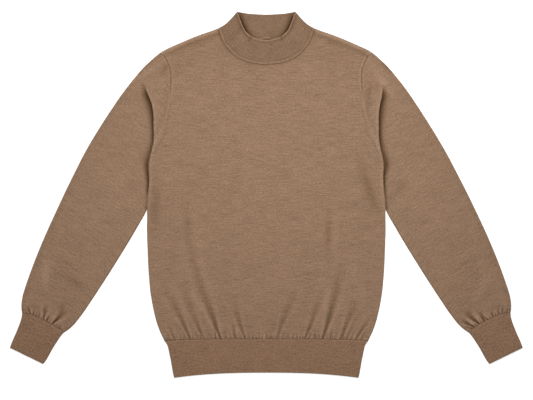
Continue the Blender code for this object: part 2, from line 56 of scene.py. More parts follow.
# Outlines. Each row is out from the centre line, then along it towards the neck
SIDE_EDGE: Rows = (
    (204, -292.2), (213.6, -271.8), (220.4, -251.8), (225.3, -231.8), (229.2, -211.8), (232.3, -191.8),
    (235.7, -151.8), (237.5, -111.8), (238.8, -71.8), (238.5, -45.8), (238.1, -14.8), (234.5, 25.2),
    (234.6, 57.2), (232.2, 80.2), (228.2, 89),
)
ARMHOLE: Rows = (
    (228.2, 89), (208.6, 125.2), (198.6, 161.2), (192.2, 205.2), (191.2, 245.2), (199.6, 269.2),
    (209.2, 286.2),
)
SHOULDER: Rows = (
    (209.2, 286.2), (200.1, 291), (187.1, 297), (173.3, 303), (159.3, 309), (144.8, 315), (129, 321),
    (111.3, 327), (96.4, 332.8),
)
FRONT_NECKLINE: Rows = (
    (96.4, 332.8), (91.4, 315.6), (81.6, 296.8), (61.2, 276.6), (34.4, 264.2), (0, 260),
)
BACK_NECKLINE: Rows = (
    (96.4, 332.8), (94.2, 327.2), (89.2, 322.4), (76, 318), (42, 313.4), (0, 312),
)
HEM_ARCH = 3.2  # rise of the hem seam at the centre
HEM_ARCH_POWER = 4.0  # power of the way out by which it falls to the sides
BAND_ARCH = 10.4  # rise of the band's lower edge at the centre
BAND_ARCH_POWER = 2.5

# The collar, and the front lip that folds down before its inner lip at the centre
COLLAR_SIDE: Rows = (
    (96.4, 332.8), (85.1, 339), (77.6, 344.9), (71.6, 350.9), (66, 357), (58.2, 366),
)
COLLAR_FRONT_EDGE: Rows = (
    (58.2, 366), (54, 355), (50, 344), (45.4, 333.2), (39, 324), (26, 314.6), (12, 313.2), (0, 314.6),
)
COLLAR_BACK_EDGE: Rows = (
    (58.2, 366), (48, 364.2), (40, 362.8), (28, 361.6), (0, 360.3),
)
COLLAR_LIP: Rows = (
    (58.4, 364.8), (54.9, 355), (50.9, 344), (46.2, 333.2), (39.4, 322.8), (25.6, 312.6), (12, 308.6),
    (0, 307.4),
)

# The sleeves and cuffs
SLEEVE_OUTER_EDGE: Rows = (
    (209.2, 286.2), (219.2, 278.4), (230.7, 268.2), (250.6, 248.2), (282.6, 208.2), (310, 168.2),
    (335.5, 128.2), (359.3, 88.2), (380.2, 48.2), (400.3, 8.2), (419.4, -31.8), (437.9, -71.8),
    (455.1, -111.8), (470.7, -151.8), (484.5, -191.8), (489.2, -211.8), (490, -226), (488.6, -236.8),
)
SLEEVE_INNER_EDGE: Rows = (
    (228.7, 89), (232.8, 80.2), (235.7, 57.2), (236.4, 25.2), (239, -14.8), (239.2, -26.8),
    (242.2, -37.8), (254.8, -59.8), (273.4, -91.8), (298, -131.8), (323.3, -171.8), (349.5, -211.8),
    (365.9, -236), (381.3, -256.2), (386.7, -262), (393.1, -268), (399.4, -272.6), (405.4, -276.6),
)
OPPOSITE_ARMPIT = 140.6  # along, where the sleeve's outer edge faces the armpit
CUFF_INNER_EDGE: Rows = (
    (405.4, -276.6), (408.7, -280.2), (413.3, -286.2), (421, -297.8), (428.4, -309.8), (435, -321.8),
    (441.2, -332.4), (446.4, -339),
)
CUFF_OUTER_EDGE: Rows = (
    (488.6, -236.8), (489.4, -243.8), (490.8, -249.8), (492.6, -255.8), (497.3, -267.8), (502.2, -279.8),
    (507.7, -291.8), (513.2, -306.4),
)

# The hem band
BAND_SIDE: Rows = (
    (204, -292.2), (199.9, -297.8), (197.3, -303.8), (195.7, -309.8), (193.3, -321.8), (190.8, -333.8),
    (188.8, -345.8), (186.6, -357.8), (184.6, -366.6),
)

# Gathers above the hem seam, from left to right, in the plane of the photograph
HEM_GATHERS: Rows = (
    # place along the seam, rise, lean, bend, depth
    (-193, 16.8, -6, 0, 0.9), (-182.6, 40, -18, 0, 1.5), (-170, 14.4, -4, 0, 1.1), (-161, 24, -8, 0, 0.9),
    (-151.4, 106, -51, 0, 2), (-137, 16.8, -5, 0, 1.1), (-128, 31.2, -12, 0, 1.1),
    (-123.6, 124, -51, 0.3, 1.2), (-110, 14.4, -3, 0, 1.1), (-101.6, 36, -2, 0, 1.6),
    (-92.4, 92, -30, 0, 1.7), (-90, 290, -73, 1, 1.1), (-80, 19.2, -4, 0, 1.2), (-71, 12, -2, 0, 0.9),
    (-62, 33.6, -6, 0, 2.3), (-51, 14.4, -2, 0, 1.1), (-42, 96, -28, 0.3, 1.7), (-33, 14.4, -2, 0, 1.2),
    (-27.2, 16.8, 0, 0, 1.4), (-21, 12, 0, 0, 1.1), (-14, 16.8, -1, 0, 1.2), (-8.6, 12, 0, 0, 1.1),
    (0, 19.2, 1, 0, 1.4), (9, 14.4, 0, 0, 1.2), (21.6, 124, 47, -0.3, 1.3), (33, 14.4, 1, 0, 1.1),
    (43, 12, 1, 0, 0.9), (52.6, 16.8, 2, 0, 1.4), (60.6, 16.8, 2, 0, 1.2), (68, 12, 2, 0, 0.9),
    (77, 96, 35, 0.2, 1.8), (86, 16.8, 4, 0, 1.1), (96, 24, 5, 0, 1.2), (104, 14.4, 3, 0, 1.1),
    (112, 150, 39, 0.4, 2.3), (115.4, 52, 18, 0, 1), (127.4, 24, 5, 0, 1.4), (138, 14.4, 4, 0, 1.2),
    (149, 86, 34, 0, 1.9), (160.6, 50, 22, 0, 1), (170, 16.8, 5, 0, 1.1), (178, 54, 35, 0, 2),
    (190, 19.2, 8, 0, 1.1),
)
LEFT_CUFF_GATHERS: Rows = (
    # share of the way from inner to outer edge, rise, lean, bend, depth
    (0.06, 7, 0, 0, 0.6), (0.10, 9, 0, 0, 0.9), (0.155, 13, -0.5, 0, 1.4), (0.22, 9, 0, 0, 0.9),
    (0.31, 42, -4, 0, 2.4), (0.38, 9, 0, 0, 1), (0.444, 20, 1.5, 0, 2), (0.51, 38, 7, 0, 1.8),
    (0.55, 10, 1, 0, 1.3), (0.59, 8, 0, 0, 1), (0.64, 16, -1, 0, 1.7), (0.69, 14, 0, 0, 1.8),
    (0.755, 15, -1, 0, 1.8), (0.82, 18, 6, 0, 1.9), (0.90, 9, 2, 0, 0.8),
)
RIGHT_CUFF_GATHERS: Rows = (
    # share of the way from inner to outer edge, rise, lean, bend, depth
    (0.10, 16, -3, 0, 1.4), (0.16, 30, -6, 0, 2.5), (0.22, 9, -1, 0, 0.8), (0.29, 42, -6, 0.2, 2.3),
    (0.34, 9, 0, 0, 0.8), (0.40, 30, 3, 0, 2), (0.445, 12, -1, 0, 1.2), (0.49, 17, -5, 0, 1.7),
    (0.55, 9, 0, 0, 0.9), (0.61, 19, 0.5, 0, 2), (0.65, 9, 0, 0, 1), (0.68, 12, 0.5, 0, 1.3),
    (0.735, 18, 2, 0, 1.6), (0.78, 9, 0, 0, 0.9), (0.83, 17, 0, 0, 1.6), (0.88, 8, 0, 0, 0.8),
    (0.93, 10, 0, 0, 1.5),
)

# The pleat beside each armpit, from the foot of the underarm up into the sleeve
LEFT_PLEAT: Rows = (
    # out, along, strength, reach of the hollow's shade, height of the crest
    (239.7, -39, 0, 3, 0), (239.3, -29, 0.6, 3, 0), (238.6, -19, 0.35, 3.2, 0), (238, -9, 0.3, 3.4, 0),
    (236, 9, 0.9, 3.8, 0), (234.8, 29, 1, 4.6, 0.1), (235.8, 59, 0.85, 7.6, 0.4),
    (232.2, 79, 0.75, 7, 0.9), (229.6, 89, 0.85, 5.6, 1.2), (226.2, 103, 0.9, 4.8, 1.8),
    (225.4, 119, 0.95, 4.8, 2.2), (225.8, 139, 1, 5.4, 2.6), (226.2, 159, 1, 6.4, 2.9),
    (229, 179, 1, 8.6, 3), (234, 193, 1, 8.6, 2.4), (238.2, 203, 0.95, 8, 1.7),
    (242.2, 213, 0.55, 6.5, 1), (246, 225, 0, 5, 0),
)
RIGHT_PLEAT: Rows = (
    # out, along, strength, reach of the hollow's shade, height of the crest
    (239.7, -39, 0, 3, 0), (239.3, -29, 0.75, 3.2, 0), (238.4, -17, 0.5, 3.3, 0),
    (237.2, -5, 0.65, 3.6, 0), (234, 19, 1, 4.2, 0.1), (234.6, 41, 1, 5, 0.3), (235.4, 61, 0.8, 9, 0.6),
    (232.2, 77, 0.85, 8, 1), (229.2, 90, 0.85, 6.6, 1.4), (226, 109, 0.95, 5.8, 2),
    (225.4, 129, 1, 5.8, 2.4), (225.4, 159, 1, 7.2, 2.8), (227.6, 179, 1, 8.2, 3),
    (231.4, 195, 1, 7.2, 2.6), (232.4, 205, 0.8, 6.6, 1.8), (233.2, 212, 0.35, 6, 1), (234, 220, 0, 5, 0),
)


class Layer(Enum):
    """Which side of the laid garment a body panel is."""

    FRONT = "front"
    BACK = "back"


class Side(Enum):
    """The photograph's left or right, as the sign of X."""

    LEFT = -1.0
    RIGHT = 1.0


@dataclass(frozen=True)
class Line:
    """A smooth open curve in the plane, through the rows of a table in millimetres."""

    rows: Rows
    samples: int = 8

    @cached_property
    def table(self) -> Array:
        """Points on the curve, with any further columns; a Catmull-Rom cubic between each two rows.

        Returns:
            Array of points, in metres.
        """
        rows = np.asarray(self.rows) * MM
        ends = np.vstack((2 * rows[0] - rows[1], rows, 2 * rows[-1] - rows[-2]))
        before, start, end, after = (ends[k:len(ends) - 3 + k, None, :] for k in range(4))
        t = (np.arange(self.samples) / self.samples)[None, :, None]
        cubic = 0.5 * (
            2 * start
            + (end - before) * t
            + (2 * before - 5 * start + 4 * end - after) * t**2
            + (3 * start - before - 3 * end + after) * t**3
        )
        return np.vstack((cubic.reshape(-1, rows.shape[1]), rows[-1:]))

    @property
    def points(self) -> Array:
        """Places of the curve's points in the plane."""
        return self.table[:, :2]

    @cached_property
    def travelled(self) -> Array:
        """Length from the start to each point."""
        return np.concatenate(([0.0], np.cumsum(np.linalg.norm(np.diff(self.points, axis=0), axis=1))))

    @property
    def length(self) -> float:
        """Length of the whole curve."""
        return float(self.travelled[-1])

    def at(self, shares: Array) -> Array:
        """Places at shares from 0 to 1 of the length."""
        wanted = np.clip(shares, 0.0, 1.0) * self.length
        return np.stack([np.interp(wanted, self.travelled, self.points[:, k]) for k in (0, 1)], axis=-1)

    def left_of(self, shares: Array) -> Array:
        """Unit directions square to the curve, to its left, from the chord over two hundredths of it.

        Args:
            shares: Shares from 0 to 1.

        Returns:
            Array of directions with two columns.
        """
        along = self.at(shares + 0.01) - self.at(shares - 0.01)
        along /= np.linalg.norm(along, axis=-1, keepdims=True)
        return np.stack((-along[..., 1], along[..., 0]), axis=-1)

    def measure(self, x: Array, y: Array) -> tuple[Array, Array]:
        """Offset from the curve and the place of the nearest point, over all its straight steps at once.

        Args:
            x: X of the places.
            y: Y of the places.

        Returns:
            The signed offset, positive to the curve's left, and the length travelled to the nearest point.
        """
        place = np.stack((x.ravel(), y.ravel()), axis=-1)[:, None, :]
        start = self.points[:-1][None]
        step = np.diff(self.points, axis=0)[None]
        squared = np.sum(step**2, axis=-1)
        share = np.clip(np.sum((place - start) * step, axis=-1) / squared, 0.0, 1.0)
        gap = place - start - share[..., None] * step
        distance = np.hypot(gap[..., 0], gap[..., 1])
        nearest = np.argmin(distance, axis=1)[:, None]
        side = step[..., 0] * (place - start)[..., 1] - step[..., 1] * (place - start)[..., 0]
        chosen = np.take_along_axis(distance, nearest, axis=1)[:, 0]
        signed = np.where(np.take_along_axis(side, nearest, axis=1)[:, 0] < 0.0, -chosen, chosen)
        share = np.take_along_axis(share, nearest, axis=1)
        run = self.travelled[nearest] + share * np.sqrt(squared[0][nearest])
        return signed.reshape(x.shape), run[:, 0].reshape(x.shape)

    def distance(self, x: Array, y: Array) -> Array:
        """Plain distance from the curve."""
        return np.abs(self.measure(x, y)[0])

    def column(self, run: Array, index: int) -> Array:
        """A further column of the table at lengths along the curve, in the table's own unit."""
        return np.interp(run, self.travelled, self.table[:, index] / MM)


def whole(half: Rows) -> Line:
    """The full line from left to right, from its right half's rows, which end on the centre line."""
    return Line(tuple((-out, along) for out, along in half) + half[-2::-1])


def rolled(distance: Array, radius: float) -> Array:
    """Share of a round edge's full height at a distance from its rim: a quarter circle."""
    return np.sqrt(1.0 - (1.0 - np.clip(distance / radius, 0.0, 1.0)) ** 2)


def hump(offset: Array, width: float | Array) -> Array:
    """A smooth hump of height one, fallen to about a third at an offset of its width."""
    return np.exp(-((offset / width) ** 2))


def eased(value: Array, low: float, high: float) -> Array:
    """Smooth step from 0 at low to 1 at high: three t squared less two t cubed."""
    t = np.clip((value - low) / (high - low), 0.0, 1.0)
    return t * t * (3.0 - 2.0 * t)


def bottomed(height: Array) -> Array:
    """Heights whose troughs end softly before they reach the layer below: a hyperbolic tangent."""
    return np.where(height < 0.0, MEASURES.trough * np.tanh(height / MEASURES.trough), height)


def spaced(*stretches: tuple[float, float, float]) -> Array:
    """Distances in metres, without repeats, from stretches of start, end and step in millimetres."""
    parts = [np.linspace(a, b, max(2, round((b - a) / step) + 1))[:-1] for a, b, step in stretches]
    return np.concatenate((*parts, [stretches[-1][1]])) * MM


def fallen(distance: Array, reach: float | Array, power: float) -> Array:
    """Painted shade that is one at an edge and about a half at its reach: e to the minus a power."""
    return np.exp(-0.7 * (distance / reach) ** power)


def span(near: Array, far: Array) -> tuple[Array, Array]:
    """Lengths from near to far places, as a column, and their unit directions."""
    width = np.linalg.norm(far - near, axis=1)[:, None]
    return width, (far - near) / width


def stepped(start: Array, heading: Array, distance: Array) -> Array:
    """Places at rows of distances from starts, each row along its heading."""
    return start[:, None] + distance[..., None] * heading[:, None]


@dataclass(frozen=True)
class Measures:
    """Sizes that several pieces share. A pair is the start and end of a smooth step along Y."""

    fold_radius: float = 2.3 * MM
    panel_gap: float = 0.8 * MM
    seam_gap: float = 0.3 * MM
    rib_gap: float = 0.15 * MM
    corner_gap: float = 0.1 * MM
    corner_reach: float = 5.0 * MM
    back_step: float = 1.5 * MM
    back_step_fade: float = 8.0 * MM
    back_step_begins: tuple[float, float] = (88.5 * MM, 94 * MM)
    back_step_ends: tuple[float, float] = (262 * MM, 285 * MM)
    tuck: float = 2.4 * MM
    underarm_begins: tuple[float, float] = (-34 * MM, -25 * MM)
    underarm_ends: tuple[float, float] = (82.5 * MM, 89 * MM)
    flap_ends: tuple[float, float] = (89 * MM, 106 * MM)
    flap_lift: float = 1.1 * MM
    flap_fade: float = 12.0 * MM
    press: float = 1.5 * MM
    trough: float = 1.6 * MM
    hollow: float = 0.6 * MM
    past_linking: float = 12.0 * MM
    cuff_arch_power: float = 4.0

    @property
    def rim(self) -> Array:
        """Distances inward from a rim at which a round edge has its columns."""
        return np.array((0.0, 0.06, 0.22, 0.5, 0.9, 1.4, 2.0, 2.8)) * MM

    def underarm(self, y: Array) -> Array:
        """Where the body lies on the sleeve below the armpit, from 0 to 1, eased in and out."""
        return eased(y, *self.underarm_begins) * (1.0 - eased(y, *self.underarm_ends))

    def armhole_step(self, y: Array) -> Array:
        """How far the back layers' armhole seam lies outside the front's, none at both its ends."""
        return self.back_step * eased(y, *self.back_step_begins) * (1.0 - eased(y, *self.back_step_ends))

    def under_seam(self, distance: Array) -> Array:
        """How far a back layer reaches past a seam, so that the front seam never opens on to the floor."""
        return self.back_step * np.exp(-distance / self.back_step_fade)

    def corner(self, distance: Array) -> Array:
        """Extra gap along a seam at a distance from its end, where two folds meet."""
        return self.corner_gap * np.exp(-distance / self.corner_reach)

    def gathered_under(self, tone: Array) -> Array:
        """How far the dark hollows of gathers rise into an underside."""
        return self.hollow * np.maximum(1.0 - tone, 0.0)


MEASURES = Measures()


@dataclass
class Cloth:
    """Height and tone of a stretch of cloth over its places, built up feature by feature.

    Height is in metres. Tone is painted shading: it multiplies the yarn's colour, below one as painted shade
    in creases and hollows, above one as painted highlight on crowns and rims.
    """

    x: Array
    y: Array
    height: Array = field(init=False)
    tone: Array = field(init=False)

    def __post_init__(self) -> None:
        """Start flat and plain."""
        self.height = np.zeros_like(self.x)
        self.tone = np.ones_like(self.x)

    def add(self, profile: Array, height: float, tone: float = 0.0) -> None:
        """Add a feature: its profile times a height in millimetres, and its tone, painted shade or highlight,
        times what is there.
        """
        self.height = self.height + profile * height * MM
        self.tone = self.tone * (1.0 + profile * tone)

    def trim(self, distance: Array, bands: Rows, where: float | Array = 1.0) -> None:
        """Add bands beside an edge, by the rows of their distance, width, height and tone, the painted shade
        or highlight.
        """
        for place, width, height, tone in bands:
            self.add(where * hump(distance - place * MM, width * MM), height, tone)


@dataclass(frozen=True)
class Gathering:
    """Furrows that fan out from a seam where full cloth is linked to a narrower rib, with painted shade in
    each furrow and painted highlight on its side ridges.
    """

    rows: Rows
    puff: float = 1.0
    puff_fade: float = 40.0 * MM
    width: float = 1.5 * MM
    flare: float = 0.08
    widest: float = 7.5 * MM
    ridge: float = 0.4
    shade: float = 0.24
    fade: float = 1.1
    foot: float = 1.3 * MM
    foot_depth: float = 0.55
    foot_light: float = 0.16
    foot_shade: float = 0.2

    def apply(self, cloth: Cloth, place: Array, rise: Array, fullness: float | Array = 1.0) -> None:
        """Add the gathered cloth.

        The cloth stands up by the puff, which grows within the foot and fades with the rise. A furrow is a
        hump taken away, with a low ridge at each side, and its colour is darkened by painted shade as deep as
        the furrow. Its middle leans and bends, its width grows and its depth falls upwards, and in the foot
        it is shallower too.

        Args:
            cloth: The cloth to add to.
            place: Places along the seam.
            rise: Heights above the seam.
            fullness: Share of the puff that each place takes.
        """
        start = 1.0 - np.exp(-np.maximum(rise, 0.0) / self.foot)
        cloth.add(fullness * start * np.exp(-rise / self.puff_fade), self.puff)
        # Painted highlight in a band just above the seam, and painted shade on the seam line itself
        cloth.trim(rise, ((0.6, 1.6, 0.0, self.foot_light), (0.0, 0.8, 0.0, -self.foot_shade)))
        width = np.minimum(self.width + self.flare * rise, self.widest)
        depths = self.foot_depth + (1.0 - self.foot_depth) * start
        for middle, height, lean, bend, depth in self.rows:
            t = np.clip(rise / (height * MM), 0.0, 1.0)
            offset = place - (middle + lean * t * (1.0 + bend * (1.0 - t))) * MM
            across = hump(offset, width) - self.ridge * hump(np.abs(offset) - 2.0 * width, 0.9 * width)
            cloth.add((1.0 - t) ** self.fade * across * depths, -depth, -self.shade * depth)


@dataclass(frozen=True)
class Crease:
    """One soft ridge or trough, given one by one: a hump across times a hump along, in millimetres."""

    x: float
    y: float
    degrees: float
    length: float
    width: float
    height: float
    tone: float

    def apply(self, cloth: Cloth) -> None:
        """Add the ridge or trough, with its tone as painted shade below zero or painted highlight above it.

        Args:
            cloth: The cloth to add to.
        """
        turn = math.radians(self.degrees)
        dx = cloth.x / MM - self.x
        dy = cloth.y / MM - self.y
        along = dx * math.cos(turn) + dy * math.sin(turn)
        across = -dx * math.sin(turn) + dy * math.cos(turn)
        cloth.add(hump(along, self.length / 2) * hump(across, self.width / 2), self.height, self.tone)


@dataclass(frozen=True)
class Pleat:
    """The fold beside an armpit: a crest towards the body that drops into a hollow on the sleeve, darkened by
    painted shade.

    The gleam is a painted highlight, a band on the crest. A pair is the start and end of a smooth step.
    """

    rows: Rows
    crest_fade: float = 15.0 * MM
    drop: tuple[float, float] = (-0.7 * MM, 0.9 * MM)
    trough: float = 1.9
    trough_fade: float = 8.0 * MM
    shade: float = 0.82
    shade_power: float = 1.9
    gleam: Rows = ((3.0, 3.2, 0.0, 0.14),)
    sleeve_begins: tuple[float, float] = (84 * MM, 96 * MM)
    body_begins: tuple[float, float] = (60 * MM, 90 * MM)

    @cached_property
    def line(self) -> Line:
        """The drop's line, from the foot of the underarm upwards."""
        return Line(self.rows)

    def apply(self, cloth: Cloth, hollow: bool) -> None:
        """Add the crest, and the hollow where the cloth is the sleeve's.

        Left of the line the crest falls off exponentially. Right of it the trough does, and its painted shade
        falls by a power of the offset over the reach.

        Args:
            cloth: The cloth to add to, in the right half's places.
            hollow: Whether the hollow is on this cloth.
        """
        offset, run = self.line.measure(cloth.x, cloth.y)
        strength, reach, crest = (self.line.column(run, index) for index in (2, 3, 4))
        strength = np.clip(strength, 0.0, 1.0)
        before = np.maximum(offset, 0.0)
        beyond = np.maximum(-offset, 0.0)
        over = eased(offset, *self.drop)
        shown = eased(cloth.y, *self.sleeve_begins) if hollow else 1.0
        cloth.add(strength * over * np.exp(-before / self.crest_fade) * crest * shown, 1.0)
        cloth.trim(before, self.gleam, strength * over)
        if hollow:
            down = strength * (1.0 - over)
            cloth.add(down * np.exp(-beyond / self.trough_fade), -self.trough)
            cloth.add(down * fallen(beyond, reach * MM, self.shade_power), 0.0, -self.shade)


class Nodes:
    """Short hand for adding and joining shader nodes in one tree."""

    def __init__(self, tree: bpy.types.NodeTree) -> None:
        """Keep the tree."""
        self.tree = tree

    def feed(self, node: bpy.types.Node, **inputs: object) -> None:
        """Set or join a node's inputs.

        Args:
            node: The node.
            **inputs: Values or output sockets by input name, with underscores for spaces; in_0 is by place.
        """
        for key, value in inputs.items():
            socket = node.inputs[int(key[3:]) if key.startswith("in_") else key.replace("_", " ")]
            if isinstance(value, bpy.types.NodeSocket):
                self.tree.links.new(value, socket)
            else:
                socket.default_value = value

    def add(self, kind: str, settings: dict[str, object] | None = None, **inputs: object) -> bpy.types.Node:
        """Add a node, set it up and feed its inputs.

        Args:
            kind: Node type without the ShaderNode prefix.
            settings: Properties of the node.
            **inputs: Values or output sockets, as for feed.

        Returns:
            The node.
        """
        node = self.tree.nodes.new(kind if kind.startswith("NodeGroup") else f"ShaderNode{kind}")
        for key, value in (settings or {}).items():
            setattr(node, key, value)
        self.feed(node, **inputs)
        return node

    def math(self, operation: str, *values: object) -> bpy.types.NodeSocket:
        """A Math node's result, from its operation and its inputs in order."""
        inputs = {f"in_{place}": value for place, value in enumerate(values)}
        return self.add("Math", {"operation": operation}, **inputs).outputs[0]


class Group(Nodes):
    """A shader node group with a place, further inputs and one output."""

    def __init__(self, name: str, output: tuple[str, str], **inputs: object) -> None:
        """Make the group with its sockets.

        Args:
            name: Name of the group.
            output: Name and type of its output.
            **inputs: Defaults of its inputs by name, colours as four channels.
        """
        super().__init__(bpy.data.node_groups.new(name, "ShaderNodeTree"))
        self.tree.interface.new_socket("Place", in_out="INPUT", socket_type="NodeSocketVector")
        for label, value in inputs.items():
            kind = "Color" if isinstance(value, tuple) else "Float"
            socket = self.tree.interface.new_socket(label, in_out="INPUT", socket_type=f"NodeSocket{kind}")
            socket.default_value = value
        self.tree.interface.new_socket(output[0], in_out="OUTPUT", socket_type=f"NodeSocket{output[1]}")
        self.given = self.add("NodeGroupInput").outputs
        self.end = self.add("NodeGroupOutput")

    def finished(self, **result: bpy.types.NodeSocket) -> bpy.types.NodeTree:
        """The group's tree, once its output is joined to the result."""
        self.feed(self.end, **result)
        return self.tree


def heather_group() -> bpy.types.NodeTree:
    """Heathered yarn: streaks along the courses, specks of fibre and soft clouds, mixed between two yarns.

    Returns:
        The group, with a colour output.
    """
    nodes = Group(
        "heathered yarn", ("Color", "Color"),
        Dark=(0.2, 0.12, 0.08, 1.0), Light=(0.4, 0.26, 0.18, 1.0), Streaks=1.0, Specks=1.0, Clouds=0.2,
    )
    tone: object = 0.5
    for label, scale, detail in (
        ("Streaks", (50.0, 560.0, 1.0), 4.0),
        ("Specks", (290.0, 460.0, 1.0), 3.0),
        ("Clouds", (22.0, 50.0, 1.0), 3.0),
    ):
        place = nodes.add("Mapping", Vector=nodes.given["Place"], Scale=scale).outputs[0]
        noise = nodes.add(
            "TexNoise", {"noise_dimensions": "2D"}, Vector=place, Scale=1.0, Detail=detail, Roughness=0.7
        )
        swing = nodes.math("SUBTRACT", noise.outputs[0], 0.5)
        tone = nodes.math("MULTIPLY_ADD", swing, nodes.given[label], tone)
    dark, light = nodes.given["Dark"], nodes.given["Light"]
    mixed = nodes.add("Mix", {"data_type": "RGBA"}, in_0=tone, in_6=dark, in_7=light)
    return nodes.finished(Color=mixed.outputs[2])


def stitch_group() -> bpy.types.NodeTree:
    """Height of plain knit: rows of V shapes, a sine of the course shifted by the distance from the wale.

    Returns:
        The group, with a height output.
    """
    nodes = Group("plain stitches", ("Height", "Float"), Wale=0.0015, Course=0.0011)
    split = nodes.add("SeparateXYZ", Vector=nodes.given["Place"])
    wale = nodes.math("DIVIDE", split.outputs[0], nodes.given["Wale"])
    course = nodes.math("DIVIDE", split.outputs[1], nodes.given["Course"])
    from_middle = nodes.math("ABSOLUTE", nodes.math("SUBTRACT", nodes.math("FRACT", wale), 0.5))
    slanted = nodes.math("MULTIPLY_ADD", from_middle, 1.2, course)
    loops = nodes.math("SINE", nodes.math("MULTIPLY", slanted, 2 * math.pi))
    gutter = nodes.math("POWER", nodes.math("MULTIPLY", from_middle, 2.0), 4.0)
    raised = nodes.math("MULTIPLY_ADD", loops, 0.25, 0.6)
    return nodes.finished(Height=nodes.math("SUBTRACT", raised, nodes.math("MULTIPLY", gutter, 0.5)))


def rib_group() -> bpy.types.NodeTree:
    """Height of a rib: a sine across the wales, rounded at its top.

    Returns:
        The group, with a height output.
    """
    nodes = Group("rib", ("Height", "Float"), Pitch=0.0026)
    split = nodes.add("SeparateXYZ", Vector=nodes.given["Place"])
    across = nodes.math("DIVIDE", split.outputs[0], nodes.given["Pitch"])
    wave = nodes.math("ABSOLUTE", nodes.math("SINE", nodes.math("MULTIPLY", across, math.pi)))
    return nodes.finished(Height=nodes.math("POWER", wave, 0.6))


def linking_group() -> bpy.types.NodeTree:
    """Marks of a linked seam at V zero: fine strokes of painted shade between the puckered loops, of uneven
    spacing and length, which the material also uses as bump relief.

    Returns:
        The group, with a mask output.
    """
    nodes = Group("linked seam", ("Mask", "Float"), Pitch=0.0046, Reach=0.011)
    split = nodes.add("SeparateXYZ", Vector=nodes.given["Place"])
    across, along = split.outputs[0], split.outputs[1]
    line = {"noise_dimensions": "1D"}
    wobble = nodes.add("TexNoise", line, W=across, Scale=70.0, Detail=2.0).outputs[0]
    lengths = nodes.add("TexNoise", line, W=across, Scale=160.0, Detail=1.0).outputs[0]
    turns = nodes.math("MULTIPLY_ADD", wobble, 3.0, nodes.math("DIVIDE", across, nodes.given["Pitch"]))
    swing = nodes.math("SINE", nodes.math("MULTIPLY", turns, 2 * math.pi))
    wave = nodes.math("MULTIPLY_ADD", swing, 0.5, 0.5)
    length = nodes.math("MULTIPLY_ADD", lengths, 3.0, -0.9)
    reach = nodes.math("MAXIMUM", nodes.math("MULTIPLY", nodes.given["Reach"], length), 0.002)
    left = nodes.math("SUBTRACT", 1.0, nodes.math("DIVIDE", along, reach))
    near = nodes.math("MAXIMUM", left, 0.0)
    return nodes.finished(Mask=nodes.math("MULTIPLY", nodes.math("POWER", wave, 2.5), near))


class Groups:
    """The shared shader node groups, made once."""

    def __init__(self) -> None:
        """Make them all."""
        self.heather = heather_group()
        self.stitches = stitch_group()
        self.rib = rib_group()
        self.linking = linking_group()


@dataclass(frozen=True)
class KnitFinish:
    """A knit fabric's colours, heather and relief. Colours are linear.

    Deepening is the powers by which green and blue follow the cloth's painted shading, so that painted shade
    in creases grows redder. Linked is how far the linked seam's strokes darken the colour as painted shade.
    """

    name: str
    yarn: tuple[float, float, float]
    streaks: float
    specks: float
    clouds: float
    ribbed: bool
    linked: float
    contrast: float = 0.4
    grain: tuple[float, float] = (0.85, 1.0)
    deepening: tuple[float, float] = (1.1, 1.32)
    roughness: float = 0.95
    gloss: float = 0.15
    sheen: float = 0.03
    bump: float = 0.22
    bump_height: float = 0.4 * MM
    fibre_scale: float = 900.0
    fibre_relief: float = 0.5
    linked_relief: float = 1.5

    def shade_of_yarn(self, share: float) -> tuple[float, float, float, float]:
        """The yarn's colour made lighter or darker by a share."""
        return (*(channel * (1.0 + share) for channel in self.yarn), 1.0)

    def material(self, groups: Groups) -> bpy.types.Material:
        """The fabric's material: heather times the cloth's painted shading and the seam's painted strokes,
        with its stitches and the strokes as a bump.

        Args:
            groups: The shared node groups.

        Returns:
            The material.
        """
        finish = bpy.data.materials.new(self.name)
        finish.use_nodes = True
        nodes = Nodes(finish.node_tree)
        place = nodes.add("UVMap", {"uv_map": "knit"}).outputs[0]
        grain = nodes.add("Mapping", Vector=place, Scale=(*self.grain, 1.0)).outputs[0]
        heather = nodes.add(
            "Group",
            {"node_tree": groups.heather},
            Place=grain,
            Dark=self.shade_of_yarn(-self.contrast), Light=self.shade_of_yarn(self.contrast),
            Streaks=self.streaks, Specks=self.specks, Clouds=self.clouds,
        ).outputs[0]
        # The tone attribute is painted shade and highlight, multiplied into the heather's colour
        tone = nodes.add("Attribute", {"attribute_name": "tone"}).outputs["Fac"]
        strokes = nodes.add("Group", {"node_tree": groups.linking}, Place=place).outputs[0]
        kept = nodes.math("SUBTRACT", 1.0, nodes.math("MULTIPLY", strokes, self.linked))
        tone = nodes.math("MULTIPLY", tone, kept)
        green, blue = (nodes.math("POWER", tone, power) for power in self.deepening)
        tint = nodes.add("CombineXYZ", X=tone, Y=green, Z=blue).outputs[0]
        colour = nodes.add("VectorMath", {"operation": "MULTIPLY"}, in_0=heather, in_1=tint).outputs[0]
        pattern = groups.rib if self.ribbed else groups.stitches
        relief = nodes.add("Group", {"node_tree": pattern}, Place=place).outputs[0]
        fibres = nodes.add(
            "TexNoise", {"noise_dimensions": "2D"}, Vector=place, Scale=self.fibre_scale, Detail=3.0
        ).outputs[0]
        height = nodes.math("MULTIPLY_ADD", fibres, self.fibre_relief, relief)
        height = nodes.math("MULTIPLY_ADD", kept, self.linked_relief, height)
        bump = nodes.add("Bump", Strength=self.bump, Distance=self.bump_height, Height=height).outputs[0]
        nodes.feed(
            finish.node_tree.nodes["Principled BSDF"],
            Base_Color=colour, Normal=bump, Roughness=self.roughness, Specular_IOR_Level=self.gloss,
            Sheen_Weight=self.sheen, Sheen_Roughness=0.5, Sheen_Tint=self.shade_of_yarn(0.6),
        )
        finish.diffuse_color = self.shade_of_yarn(0.0)
        return finish


@dataclass(frozen=True)
class Cut:
    """A knit piece's place in the record and the flat size it was knitted to."""

    name: str
    node: str
    width: float
    length: float
    area: float
    wall: float
    rests_on: tuple[str, ...] = ()


